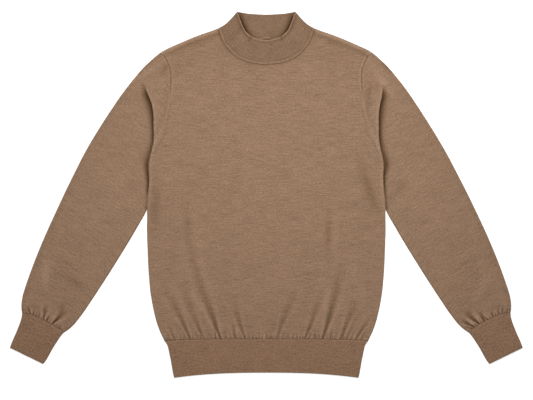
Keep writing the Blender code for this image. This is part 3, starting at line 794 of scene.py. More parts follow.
@dataclass
class Grid:
    """A grid of points with its knit coordinates and tone, its painted shade and highlight, rows by columns.
    """

    x: Array
    y: Array
    z: Array
    across: Array
    along: Array
    tone: Array

    def piece(self, cut: Cut, finish: bpy.types.Material, turned: bool) -> bpy.types.Object:
        """Make the closed shell: quads over the grid, doubles joined, and Solidify for its wall.

        Args:
            cut: The piece's name, node and flat size.
            finish: Its material.
            turned: True where rows and columns run the other way round.

        Returns:
            The finished object.
        """
        rows, columns = self.x.shape
        index = np.arange(rows * columns).reshape(rows, columns)
        corners = (index[:-1, :-1], index[:-1, 1:], index[1:, 1:], index[1:, :-1])
        quads = np.stack(corners, axis=-1).reshape(-1, 4)
        if turned:
            quads = quads[:, ::-1]
        mesh = bpy.data.meshes.new(cut.name)
        mesh.from_pydata(np.stack((self.x, self.y, self.z), axis=-1).reshape(-1, 3), [], quads)
        knit = mesh.uv_layers.new(name="knit")
        coordinates = np.stack((self.across, self.along), axis=-1).reshape(-1, 2)[quads.ravel()]
        knit.data.foreach_set("uv", coordinates.ravel())
        tone = mesh.attributes.new("tone", "FLOAT", "POINT")
        tone.data.foreach_set("value", np.clip(self.tone, 0.1, 1.4).ravel())
        join_doubles(mesh)
        mesh.materials.append(finish)
        mesh.shade_smooth()
        made = placed(cut.name, mesh)
        wall = made.modifiers.new("wall", "SOLIDIFY")
        wall.thickness = cut.wall
        wall.offset = -1.0
        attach(made, "root")
        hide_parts(cut.node)
        LOG.info("%s: %d points in %d rows", cut.name, len(mesh.vertices), rows)
        return made


def placed(name: str, data: bpy.types.ID) -> bpy.types.Object:
    """Put a new object in the scene.

    Args:
        name: Its name.
        data: The mesh, light or camera that it shows.

    Returns:
        The object.
    """
    made = bpy.data.objects.new(name, data)
    bpy.context.scene.collection.objects.link(made)
    return made


def join_doubles(mesh: bpy.types.Mesh) -> None:
    """Join points that lie on each other, so that a row that has run all the way round closes.

    Args:
        mesh: The mesh to close.
    """
    work = bmesh.new()
    work.from_mesh(mesh)
    bmesh.ops.remove_doubles(work, verts=work.verts, dist=2e-6)
    work.to_mesh(mesh)
    work.free()


BODY_CREASES: Rows = (
    # x, y, degrees, length, width, height, tone (painted shade or highlight), as for the sleeves and the
    # collar
    (-94.6, 309.8, 3, 14, 4, -0.2, -0.12), (-91.6, 297.6, 3, 12, 4, -0.2, -0.10),
    (-222, -22, 88, 100, 20, -0.4, -0.19), (207, 8, -71, 124, 19, -0.5, -0.22),
    (-140, 276, 20, 130, 52, 0, -0.06), (140, 276, -20, 130, 52, 0, -0.06),
    (124, -82, 90, 96, 12, -0.5, -0.18), (138, -82, 90, 96, 12, 0.3, 0.08),
    (-158, -60, 90, 90, 14, -0.3, -0.06), (-183, -180, 66, 90, 16, 0.3, 0.05),
    (184, -180, -70, 100, 16, 0.3, 0.05), (0, -254, 0, 520, 76, 0, -0.035),
)


# Bands beside the front's seams: distance, width, height, tone (painted shade or highlight)
BODY_ARMHOLE_LOWER: Rows = ((0.0, 1.6, 0.3, 0.2),)
BODY_ARMHOLE_MIDDLE: Rows = ((3.6, 1.5, 0.0, -0.08),)
BODY_ARMHOLE_LOWEST: Rows = ((6.4, 2.2, 0.0, -0.1),)
BODY_ARMHOLE_UPPER: Rows = ((0.0, 1.1, -0.3, -0.32), (3.2, 1.5, 0.2, 0.14))
BODY_SHOULDER: Rows = ((11.0, 5.0, 0.0, -0.23), (3.0, 3.2, 0.0, 0.2))
BODY_NECK: Rows = ((0.0, 0.9, -0.2, -0.29), (2.2, 2.4, 0.0, -0.10))


@dataclass(frozen=True)
class BodyPanel:
    """The front or the back of the body, linked to the other at its sides and shoulders.

    The armhole's stretches are shares of its length from the armpit, each the start and end of a smooth step.
    """

    cut: Cut
    layer: Layer
    neck: Line
    gathering: Gathering
    creases: Rows = ()
    crown: float = 1.0
    neck_shade: float = 0.05
    neck_shade_fade: float = 32.0 * MM
    column_step: float = 1.3
    corner_columns: tuple[float, float, float] = (82.0, 100.0, 1.2)
    armhole_lowest: tuple[float, float] = (0.2, 0.3)
    armhole_upper: tuple[float, float] = (0.5, 0.66)
    straight_courses: tuple[float, float] = (10 * MM, 80 * MM)
    side: Line = Line(SIDE_EDGE)
    armhole: Line = Line(ARMHOLE)
    shoulder: Line = Line(SHOULDER)

    def rises(self, height: float) -> Array:
        """Distances of the rows above the hem seam, closest in the gathers and at the top rim.

        Args:
            height: Height of the panel at the shoulder tip.

        Returns:
            The distances in metres.
        """
        top = height / MM
        lower = spaced((0.0, 6.0, 1.0), (6.0, 24.0, 1.8), (24.0, 110.0, 3.4), (110.0, top - 9.0, 6.6))
        upper = top * MM - np.concatenate((np.array((6.6, 5.0, 3.8)) * MM, MEASURES.rim[::-1]))
        return np.concatenate((lower, upper))

    def plan(self) -> tuple[Array, Array, Array, Array]:
        """Places of the points in the plane.

        A point's Y is its distance up the side, moved in proportion to its height by how far the top edge
        stands above the shoulder tip, and at the foot by the arch of the hem. The back's foot and armhole
        reach past the front's, and its side steps in under the front's where the sleeve tucks between them.

        Returns:
            X, Y, shares of the way out, and heights above the hem seam.
        """
        foot = self.side.points[0, 1]
        armpit = self.side.points[-1, 1]
        tip_out, tip_along = self.shoulder.points[0]
        rise = self.rises(tip_along - foot)
        level = foot + rise[:, None]
        edge = np.vstack((self.side.points, self.armhole.points[1:]))
        past_armpit = np.clip((level - armpit) / MEASURES.fold_radius, 0.0, 1.0)
        out = np.interp(level, edge[:, 1], edge[:, 0]) - past_armpit * MEASURES.seam_gap / 2
        foot_step = 0.0
        if self.layer is Layer.BACK:
            tuck = (MEASURES.tuck + 0.2 * MM) * MEASURES.underarm(level)
            out = out + MEASURES.armhole_step(level) - tuck
            foot_step = MEASURES.under_seam(level - foot)
        rim = MEASURES.rim
        step = self.column_step
        low, high, fine = self.corner_columns
        half = spaced((0.0, low, step), (low, high, min(step, fine)), (high, tip_out / MM, step)) / tip_out
        inner = np.concatenate((-half[:0:-1], half))[None, 1:-1]
        x = np.hstack((-(out - rim), inner * (out - rim[-1]), (out - rim)[:, ::-1]))
        foot_step = foot_step * eased(out - np.abs(x), 0.0, 5 * MM)
        neck = self.neck.points[self.neck.points[:, 0] >= 0.0]
        top_edge = np.vstack((neck, self.shoulder.points))
        order = np.argsort(top_edge[:, 0])
        share = x / out
        top = np.interp(np.abs(share) * tip_out, top_edge[order, 0], top_edge[order, 1])
        weight = rise[:, None] / rise[-1]
        arch = (1.0 - weight) * HEM_ARCH * MM * (1.0 - share**HEM_ARCH_POWER)
        y = level + weight * (top - tip_along) + arch - foot_step
        return x, y, share, level - foot + np.zeros_like(x)

    def dressed(self, cloth: Cloth, share: Array, rise: Array) -> None:
        """Add the front's crown, creases, pleats and seams, with their painted shade and highlights.

        Args:
            cloth: The front's cloth.
            share: Shares of the way out.
            rise: Heights above the hem seam.
        """
        x, y = cloth.x, cloth.y
        weight = rise / rise.max()
        cloth.add((1.0 - share**2) * 4 * weight * (1.0 - weight), self.crown)
        for row in self.creases:
            Crease(*row).apply(cloth)
        for sign, rows in ((-1.0, LEFT_PLEAT), (1.0, RIGHT_PLEAT)):
            pleat = Pleat(rows)
            inside = sign * x > 0.0
            half = Cloth(np.maximum(sign * x, 0.0), y)
            pleat.apply(half, hollow=False)
            cloth.height = cloth.height + eased(y, *pleat.body_begins) * inside * half.height
            cloth.tone = cloth.tone * (1.0 + inside * (half.tone - 1.0))
        to_armhole, run = self.armhole.measure(np.abs(x), y)
        to_armhole = np.abs(to_armhole)
        upper = eased(run / self.armhole.length, *self.armhole_upper)
        lowest = 1.0 - eased(run / self.armhole.length, *self.armhole_lowest)
        cloth.trim(to_armhole, BODY_ARMHOLE_LOWER, 1.0 - upper)
        cloth.trim(to_armhole, BODY_ARMHOLE_MIDDLE, (1.0 - upper) * (1.0 - lowest))
        cloth.trim(to_armhole, BODY_ARMHOLE_LOWEST, lowest)
        cloth.trim(to_armhole, BODY_ARMHOLE_UPPER, upper)
        cloth.trim(self.shoulder.distance(np.abs(x), y), BODY_SHOULDER)
        to_neck = self.neck.distance(x, y)
        # Painted shade: the front darkens towards the neckline and along the neck seam
        cloth.add(np.exp(-to_neck / self.neck_shade_fade), 0.0, -self.neck_shade)
        cloth.trim(to_neck, BODY_NECK)

    def build(self, finish: bpy.types.Material) -> bpy.types.Object:
        """Make the panel. Its Z is the round of the nearest folded edge plus the cloth's relief.

        Args:
            finish: Its material.

        Returns:
            The finished object.
        """
        x, y, share, rise = self.plan()
        foot, armpit = self.side.points[[0, -1], 1]
        radius = MEASURES.fold_radius - MEASURES.panel_gap / 2
        to_edge = np.abs(x[:, -1:] - np.abs(x))
        to_side = np.where(rise < armpit - foot, to_edge, np.inf)
        to_shoulder = self.shoulder.distance(np.abs(x), y)
        raised = rolled(np.minimum(to_side, to_shoulder), radius)
        cloth = Cloth(x, y)
        self.gathering.apply(cloth, x, rise)
        lip = MEASURES.panel_gap / 2 + radius * raised
        if self.layer is Layer.FRONT:
            self.dressed(cloth, share, rise)
            flap = eased(y, *MEASURES.underarm_begins) * (1.0 - eased(y, *MEASURES.flap_ends))
            lift = MEASURES.flap_lift * flap * np.exp(-to_edge / MEASURES.flap_fade)
            z = MEASURES.fold_radius + lip + lift + raised * bottomed(cloth.height)
        else:
            z = MEASURES.fold_radius - lip + MEASURES.gathered_under(cloth.tone) * raised
        level = eased(rise, *self.straight_courses)
        courses = rise + level * (y - foot - rise)
        grid = Grid(x, y, z, x + 0.0, courses, cloth.tone)
        return grid.piece(self.cut, finish, turned=self.layer is Layer.BACK)


# Both sleeves' creases are in the right half's places; their tone is painted shade or highlight
LEFT_SLEEVE_CREASES: Rows = (
    (241.6, 245, -28.6, 66, 16, 0.7, 0.15), (204, 250, -60, 26, 11, -0.3, -0.24),
    (236, 236, -30, 14, 9, -0.3, -0.08), (247, 76, 80, 30, 13, -0.2, -0.12),
    (240, 60, 90, 36, 6, -0.1, -0.14), (387, -173, 26, 50, 12, -0.5, -0.24),
    (442, -158, 88, 70, 13, 0.6, 0.2), (410, -229, -60, 18, 12, -0.5, -0.18),
    (300, 10, -60, 200, 46, 0.4, 0.03),
)
RIGHT_SLEEVE_CREASES: Rows = (
    (230, 231, -55.3, 92, 14, 0.9, 0.17), (206.4, 204, 86, 60, 9, -0.5, -0.20),
    (221, 215.6, 12, 22, 8, -0.4, -0.15), (235, 225, -30, 14, 9, 0.2, 0.05),
    (262, 6, 46, 66, 13, -0.3, -0.10), (240.8, 60, 94, 36, 7, -0.2, -0.22),
    (432.2, -186.4, 66, 46, 14, 0.5, 0.18), (400, -170, 30, 40, 10, -0.3, -0.05),
    (300, 10, -60, 200, 46, 0.4, 0.03),
)


# Bands beside the sleeve's armhole seam and folds: distance, width, height, tone (painted shade or highlight)
SLEEVE_ARMHOLE_LOWER: Rows = ((0.0, 1.6, 0.3, 0.16),)
SLEEVE_ARMHOLE_MIDDLE: Rows = ((4.6, 2.0, -0.2, -0.12),)
SLEEVE_ARMHOLE_LOWEST: Rows = ((4.0, 2.6, 0.2, 0.07),)
SLEEVE_ARMHOLE_PAST: Rows = ((11.0, 5.0, 0.0, -0.06),)
SLEEVE_ARMHOLE_UPPER: Rows = ((0.0, 1.1, -0.3, -0.3), (9.0, 1.8, -0.2, -0.07))
SLEEVE_INNER_FOLD: Rows = ((0.0, 2.0, 0.0, -0.24),)
SLEEVE_OUTER_FOLD: Rows = ((6.0, 4.0, 0.0, -0.06),)


@dataclass(frozen=True)
class Sleeve:
    """A set-in sleeve: one panel around its outer fold, linked to the body and seamed under the arm.

    The armhole's stretches are shares of its length from the shoulder tip. The column counts are those before
    the pleat, after it and underneath, and the column room is what the pleat's own columns need at each side.
    """

    cut: Cut
    side: Side
    gathers: Rows
    creases: Rows
    pleat: Pleat
    spread: float = 0.0
    seam_arch: float = 5.0
    seam_arch_fade: float = 45.0 * MM
    cuff_width: float = 92.0
    press_fade: float = 9.0 * MM
    pleat_reach: float = 6.0 * MM
    pleat_foot: float = 89.0 * MM
    pleat_top: float = 150.0 * MM
    column_steps: tuple[float, ...] = (
        -3.6, -2.7, -1.9, -1.2, -0.6, 0, 0.6, 1.2, 1.9, 2.7, 3.6, 4.8, 6.4, 8.2,
    )
    column_room: tuple[float, float] = (3.8 * MM, 8.6 * MM)
    column_counts: tuple[int, int, int] = (14, 66, 28)
    rim_share: float = 0.3
    square_widths: tuple[float, float] = (20 * MM, 60 * MM)
    armhole_lower: tuple[float, float] = (0.34, 0.5)
    armhole_lowest: tuple[float, float] = (0.7, 0.8)
    fold_shade_begins: tuple[float, float] = (30 * MM, 60 * MM)
    full_shares: tuple[float, float] = (0.0, 0.16)
    linking_fade: float = 8 * MM
    inner: Line = Line(SLEEVE_INNER_EDGE)
    armhole: Line = Line(ARMHOLE[::-1])

    @cached_property
    def outer(self) -> Line:
        """The outer edge, from the shoulder tip to the cuff, moved out by the spread along its upper half.

        Returns:
            The line.
        """
        out, along = np.array(SLEEVE_OUTER_EDGE).T
        out = out + self.spread * hump(along - 120.0, 130.0) * eased(286.2 - along, 0.0, 30.0)
        return Line(tuple(zip(out.tolist(), along.tolist())))

    def sections(self) -> tuple[Array, Array, Array, Array, Array]:
        """The ends of each section across the sleeve, from the shoulder tip to the cuff.

        Returns:
            Near ends, far ends, inward directions at both, and lengths from each section to the cuff seam.
        """
        inner, outer, armhole = self.inner, self.outer, self.armhole
        opposite = int(np.argmax(outer.points[:, 1] < OPPOSITE_ARMPIT * MM))
        opposite_share = outer.travelled[opposite] / outer.length
        top = armhole.length / MM
        cap = spaced((2.4, 9.0, 1.6), (9.0, top - 6.0, 3.4), (top - 6.0, top - 0.6, 0.9)) / armhole.length
        end = inner.length / MM
        lower = spaced(
            (0.0, 8.0, 1.6), (8.0, end - 40.0, 4.2), (end - 40.0, end - 8.0, 2.2), (end - 8.0, end, 1.0)
        ) / inner.length
        clearance = MEASURES.seam_gap / 2 + MEASURES.corner(np.minimum(cap, 1.0 - cap) * armhole.length)
        cap_near = armhole.at(cap) + np.stack((clearance, np.zeros_like(clearance)), axis=-1)
        near = np.vstack((cap_near, inner.at(lower)))
        near[len(cap):, 0] -= MEASURES.tuck * MEASURES.underarm(near[len(cap):, 1])
        near_inward = np.vstack((armhole.left_of(cap), inner.left_of(lower)))
        shares = np.concatenate((cap * opposite_share, opposite_share + lower * (1.0 - opposite_share)))
        to_cuff = np.concatenate((inner.length + (1.0 - cap) * armhole.length, (1.0 - lower) * inner.length))
        return near, outer.at(shares), near_inward, -outer.left_of(shares), to_cuff

    def columns(self, near: Array, far: Array, reserve: Array) -> Array:
        """Distances of the top layer's columns from the near edge, closest around the pleat.

        Args:
            near: Near ends of the sections.
            far: Far ends.
            reserve: Length that each round edge takes up, by section.

        Returns:
            Distances by section and column.
        """
        width, heading = span(near, far)
        from_near = self.pleat.line.points[None] - near[:, None]
        along = np.sum(from_near * heading[:, None], axis=-1)
        off = np.abs(heading[:, None, 0] * from_near[..., 1] - heading[:, None, 1] * from_near[..., 0])
        closest = np.argmin(off, axis=1)
        rows = np.arange(len(near))
        reached = (off[rows, closest] < self.pleat_reach) & (near[:, 1] > self.pleat_foot)
        unreached = np.where(near[:, 1] > self.pleat_top, 50 * MM, 6 * MM)
        place = np.where(reached, along[rows, closest], unreached)
        place = np.convolve(np.pad(place, 3, mode="edge"), np.full(7, 1 / 7), mode="valid")[:, None]
        low = reserve + 0.2 * MM
        high = width - reserve - 0.2 * MM
        place = np.clip(place, low + 0.05 * (high - low), low + 0.6 * (high - low))
        room = np.minimum((place - low) / self.column_room[0], (high - place) / self.column_room[1])
        around = place + np.minimum(1.0, room) * (np.array(self.column_steps) * MM)
        before = low + np.linspace(0.0, 1.0, self.column_counts[0])[:-1] * (around[:, :1] - low)
        after = around[:, -1:] + np.linspace(0.0, 1.0, self.column_counts[1])[1:] * (high - around[:, -1:])
        return np.hstack((before, around, after))

    def plan(self) -> tuple[Array, Array, Array, Array, int]:
        """Places of the points: over the top, around the outer fold and back underneath.

        Above the armpit the under layer starts a step past the front seam, as the back panel does, and at the
        cuff it reaches a step further.

        Returns:
            Places, headings across the sleeve, distances from the near edge, lengths to the cuff, and the
            count of top columns.
        """
        near, far, near_inward, far_inward, to_cuff = self.sections()
        width, heading = span(near, far)
        rim = np.minimum(1.0, self.rim_share * width / MEASURES.rim[-1]) * MEASURES.rim
        above = (to_cuff > self.inner.length)[:, None]
        square = eased(width, *self.square_widths)
        start = stepped(near, np.where(above, heading, near_inward), rim)
        end = stepped(far, square * far_inward - (1.0 - square) * heading, rim)[:, ::-1]
        middle = stepped(near, heading, self.columns(near, far, rim[:, -1:]))
        over = np.concatenate((start, middle, end), axis=1)
        step = above * MEASURES.armhole_step(near[:, 1:])
        low = rim[:, -1:] + step + 0.5 * MM
        high = width - rim[:, -1:] - 0.5 * MM
        spread = np.linspace(0.0, 1.0, self.column_counts[2])
        inside = stepped(near, heading, low + spread * (high - low))
        start = start + step[..., None] * np.array((1.0, 0.0))
        under = np.concatenate((start, inside, end), axis=1)[:, ::-1]
        place = np.concatenate((over, under[:, 1:]), axis=1)
        from_near = np.linalg.norm(place - near[:, None, :], axis=-1)
        return place, heading, from_near, to_cuff, over.shape[1]

    def dressed(self, cloth: Cloth, rise: Array) -> None:
        """Add the top's creases, pleat, folds and armhole seam, with their painted shade and highlights.

        Args:
            cloth: The sleeve's cloth.
            rise: Lengths to the cuff seam.
        """
        for row in self.creases:
            Crease(*row).apply(cloth)
        self.pleat.apply(cloth, hollow=True)
        to_inner = self.inner.distance(cloth.x, cloth.y)
        cloth.trim(to_inner, SLEEVE_INNER_FOLD, eased(-cloth.y, *self.fold_shade_begins))
        cloth.trim(self.outer.distance(cloth.x, cloth.y), SLEEVE_OUTER_FOLD)
        cloth.add(MEASURES.underarm(cloth.y) * np.exp(-to_inner / self.press_fade), -MEASURES.press / MM)
        to_armhole, run = self.armhole.measure(cloth.x, cloth.y)
        to_armhole = np.abs(to_armhole)
        above = rise > self.inner.length - 4 * MM
        lower = eased(run / self.armhole.length, *self.armhole_lower)
        lowest = eased(run / self.armhole.length, *self.armhole_lowest)
        cloth.trim(to_armhole, SLEEVE_ARMHOLE_LOWER, above * lower)
        cloth.trim(to_armhole, SLEEVE_ARMHOLE_MIDDLE, above * lower * (1.0 - lowest))
        cloth.trim(to_armhole, SLEEVE_ARMHOLE_LOWEST, above * lowest)
        cloth.trim(to_armhole, SLEEVE_ARMHOLE_PAST, above * lower)
        cloth.trim(to_armhole, SLEEVE_ARMHOLE_UPPER, above * (1.0 - lower))

    def build(self, finish: bpy.types.Material) -> bpy.types.Object:
        """Make the sleeve. Z follows the round of the nearer fold, plus the cloth's relief on top.

        Args:
            finish: Its material.

        Returns:
            The finished object.
        """
        place, heading, from_near, to_cuff, top_columns = self.plan()
        x, y = place[..., 0], place[..., 1]
        on_top = (np.arange(place.shape[1]) < top_columns)[None, :]
        closed = (to_cuff <= self.inner.length + 1e-9)[:, None]
        width = np.linalg.norm(place[:, top_columns - 1] - place[:, 0], axis=-1)[:, None]
        share = from_near / width
        rise = to_cuff[:, None] + np.zeros_like(x)
        to_inner = np.where(closed, self.near_edge_distance(place, closed), np.inf)
        to_outer = self.outer.distance(x, y)
        to_outer[:, top_columns - 1] = 0.0
        raised = rolled(np.minimum(to_inner, to_outer), MEASURES.fold_radius)
        cloth = Cloth(x, y)
        rows = tuple((middle * self.cuff_width, *rest) for middle, *rest in self.gathers)
        fullness = eased(share, *self.full_shares)
        gathering = Gathering(
            rows, puff=1.2, puff_fade=30 * MM, width=1.2 * MM, flare=0.09,
            shade=0.44, fade=0.8, foot=2.4 * MM, foot_shade=0.0,
        )
        gathering.apply(cloth, share * self.cuff_width * MM, rise, fullness)
        gathered = cloth.tone
        self.dressed(cloth, rise)
        top = MEASURES.fold_radius * (1.0 + raised) + raised * bottomed(cloth.height)
        under = MEASURES.fold_radius * (1.0 - raised) + MEASURES.gathered_under(gathered) * raised
        arch = self.seam_arch * MM * (1.0 - np.abs(2.0 * share - 1.0) ** MEASURES.cuff_arch_power)
        arch = arch * np.exp(-rise / self.seam_arch_fade)
        reach = np.where(on_top, 0.0, MEASURES.under_seam(rise) * raised) - arch
        grid = Grid(
            x=self.side.value * (x + reach * heading[:, None, 1]),
            y=y - reach * heading[:, None, 0],
            z=np.where(on_top, top, under),
            across=np.where(on_top, from_near, 2 * width - from_near),
            along=rise + self.linking_fade * (1.0 - fullness),
            tone=np.where(on_top, cloth.tone, gathered),
        )
        return grid.piece(self.cut, finish, turned=self.side is Side.RIGHT)

    @staticmethod
    def near_edge_distance(place: Array, closed: Array) -> Array:
        """Distances from the inner fold where the sleeve is a closed tube.

        Args:
            place: Places of the points.
            closed: Which sections are closed.

        Returns:
            Distances, zero at both ends of a closed section.
        """
        edge = place[closed[:, 0], 0]
        fold = Line(tuple((float(x) / MM, float(y) / MM) for x, y in edge), samples=1)
        distance = fold.distance(place[..., 0], place[..., 1])
        distance[:, 0] = 0.0
        distance[:, -1] = 0.0
        return distance


@dataclass(frozen=True)
class RibTube:
    """A flat tube of rib between two folded edges: a cuff or the hem band.

    Each arch is a height in millimetres and a power. It lifts its end of the tube by the height times one
    less the power of the way out from the middle. The corner is further gap at both ends of the seam. The
    fine rows at the seam and at the open end are a stretch and a step in millimetres.
    """

    cut: Cut
    inner_edge: Line
    outer_edge: Line
    mirrored: bool
    turned: bool
    row_step: float = 2.6
    seam_rows: tuple[float, float] = (4.0, 0.7)
    end_rows: tuple[float, float] = (3.0, 0.5)
    column_step: float = 2.2
    seam_arch: tuple[float, float] = (0.0, 2.0)
    end_arch: tuple[float, float] = (0.0, 2.0)
    corner: float = 0.0
    corner_width: float = 3.0 * MM
    gap_fade: float = 4.0 * MM
    end_round: float = 1.6 * MM
    # Painted light and shade: a lighter row above the seam, the whole piece lighter, a darker band on the
    # inner fold's top
    seam_light: float = 0.2
    light: float = 0.0
    inner_shade: float = 0.0

    def build(self, finish: bpy.types.Material) -> bpy.types.Object:
        """Make the tube: straight sections between its edges, round at both folds, with rounded ends.

        The first rows carry a fine linked ridge with a painted highlight, and the open end is rounded down
        and darkened by painted shade.

        Args:
            finish: Its material.

        Returns:
            The finished object.
        """
        length = self.inner_edge.length
        end = length / MM
        low, fine = self.seam_rows
        high, finest = end - self.end_rows[0], self.end_rows[1]
        run = spaced((0.0, low, fine), (low, high, self.row_step), (high, end, finest)) / length
        near = self.inner_edge.at(run)
        far = self.outer_edge.at(run)
        width, heading = span(near, far)
        down = np.stack((heading[:, 1], -heading[:, 0]), axis=-1)
        rim = MEASURES.rim[None]
        count = round(float(width[0, 0]) / MM / self.column_step)
        inner = np.linspace(0.0, 1.0, count)[None, 1:-1] * (width - 2 * rim[:, -1:]) + rim[:, -1:]
        over = np.hstack((rim + 0 * width, inner, (width - rim)[:, ::-1]))
        distance = np.hstack((over, over[:, ::-1][:, 1:]))
        on_top = np.arange(distance.shape[1]) < over.shape[1]
        to_fold = np.minimum(distance, width - distance)
        raised = rolled(to_fold, MEASURES.fold_radius)
        from_seam = (run * length)[:, None] + np.zeros_like(distance)
        gap = MEASURES.rib_gap + self.corner * hump(to_fold, self.corner_width)
        gap = gap * np.exp(-from_seam / self.gap_fade)
        gap = gap + np.where(on_top, 0.0, MEASURES.under_seam(from_seam) * raised)
        run = run[:, None]
        off_centre = np.abs(2 * (distance / width) - 1.0)
        (low, low_power), (high, high_power) = self.seam_arch, self.end_arch
        arch = low * (1.0 - run) * (1.0 - off_centre**low_power) + high * run * (1.0 - off_centre**high_power)
        place = stepped(near, heading, distance) + (gap - arch * MM)[..., None] * down[:, None]
        cloth = Cloth(place[..., 0], place[..., 1])
        cloth.add(np.ones_like(distance), 0.0, self.light)
        cloth.trim(from_seam, ((0.0, 0.7, -0.1, 0.0), (1.8, 1.0, 0.2, self.seam_light)))
        cloth.trim(distance, ((0.0, 2.0, 0.0, -self.inner_shade),), on_top)
        cloth.add(1.0 - rolled(length - from_seam, self.end_round), -0.7, -0.12)
        z = MEASURES.fold_radius + MEASURES.fold_radius * np.where(on_top, raised, -raised)
        grid = Grid(
            x=(-1.0 if self.mirrored else 1.0) * cloth.x,
            y=cloth.y,
            z=z + np.where(on_top, raised * cloth.height, 0.0),
            across=np.where(on_top, distance, 2 * width - distance),
            along=from_seam + MEASURES.past_linking,
            tone=cloth.tone,
        )
        return grid.piece(self.cut, finish, turned=self.turned)


# x, y, degrees, length, width, height, tone (painted shade or highlight)
COLLAR_CREASES: Rows = (
    (-32.6, 311.6, 62, 12, 4.4, -0.8, -0.30), (30.6, 311.6, 118, 12, 4.4, -0.6, -0.24),
    (-9, 300, 92, 12, 4, -0.3, -0.08), (-53, 316, 130, 26, 14, 0.2, 0.08),
    (54, 318, 50, 26, 14, 0.2, 0.08), (-64, 318, 52, 34, 16, -0.3, -0.10),
    (66, 320, 128, 34, 12, -0.3, 0.02), (-49, 341, 66, 36, 7, -0.2, -0.16),
    (50, 341, 114, 36, 7, -0.2, -0.12),
)


# Bands beside the collar's seam and lip: distance, width, height, tone (painted shade or highlight)
COLLAR_SEAM: Rows = ((0.0, 0.8, -0.1, -0.3), (1.9, 1.3, 0.2, 0.26), (6.0, 2.6, 0.0, -0.06))
COLLAR_LIP_ALL: Rows = ((0.2, 1.3, 0.8, 0.38), (-2.8, 1.3, 0.0, -0.18))
COLLAR_LIP_SIDE: Rows = ((0.0, 1.2, 0.0, 0.2),)
COLLAR_LIP_SIDE_SHADE: Rows = ((-4.0, 3.0, 0.0, -0.18),)
COLLAR_SLIT: Rows = (
    (0.2, 1.2, 0.0, 0.24), (2.8, 1.4, -1.4, -0.52), (6.0, 1.5, 0.3, 0.58), (8.6, 1.5, 0.0, -0.16),
)
COLLAR_INSIDE_SLIT: Rows = ((0.5, 1.3, 0.0, 0.45),)
COLLAR_INSIDE_EDGE: Rows = ((0.0, 1.2, 0.0, 0.08),)


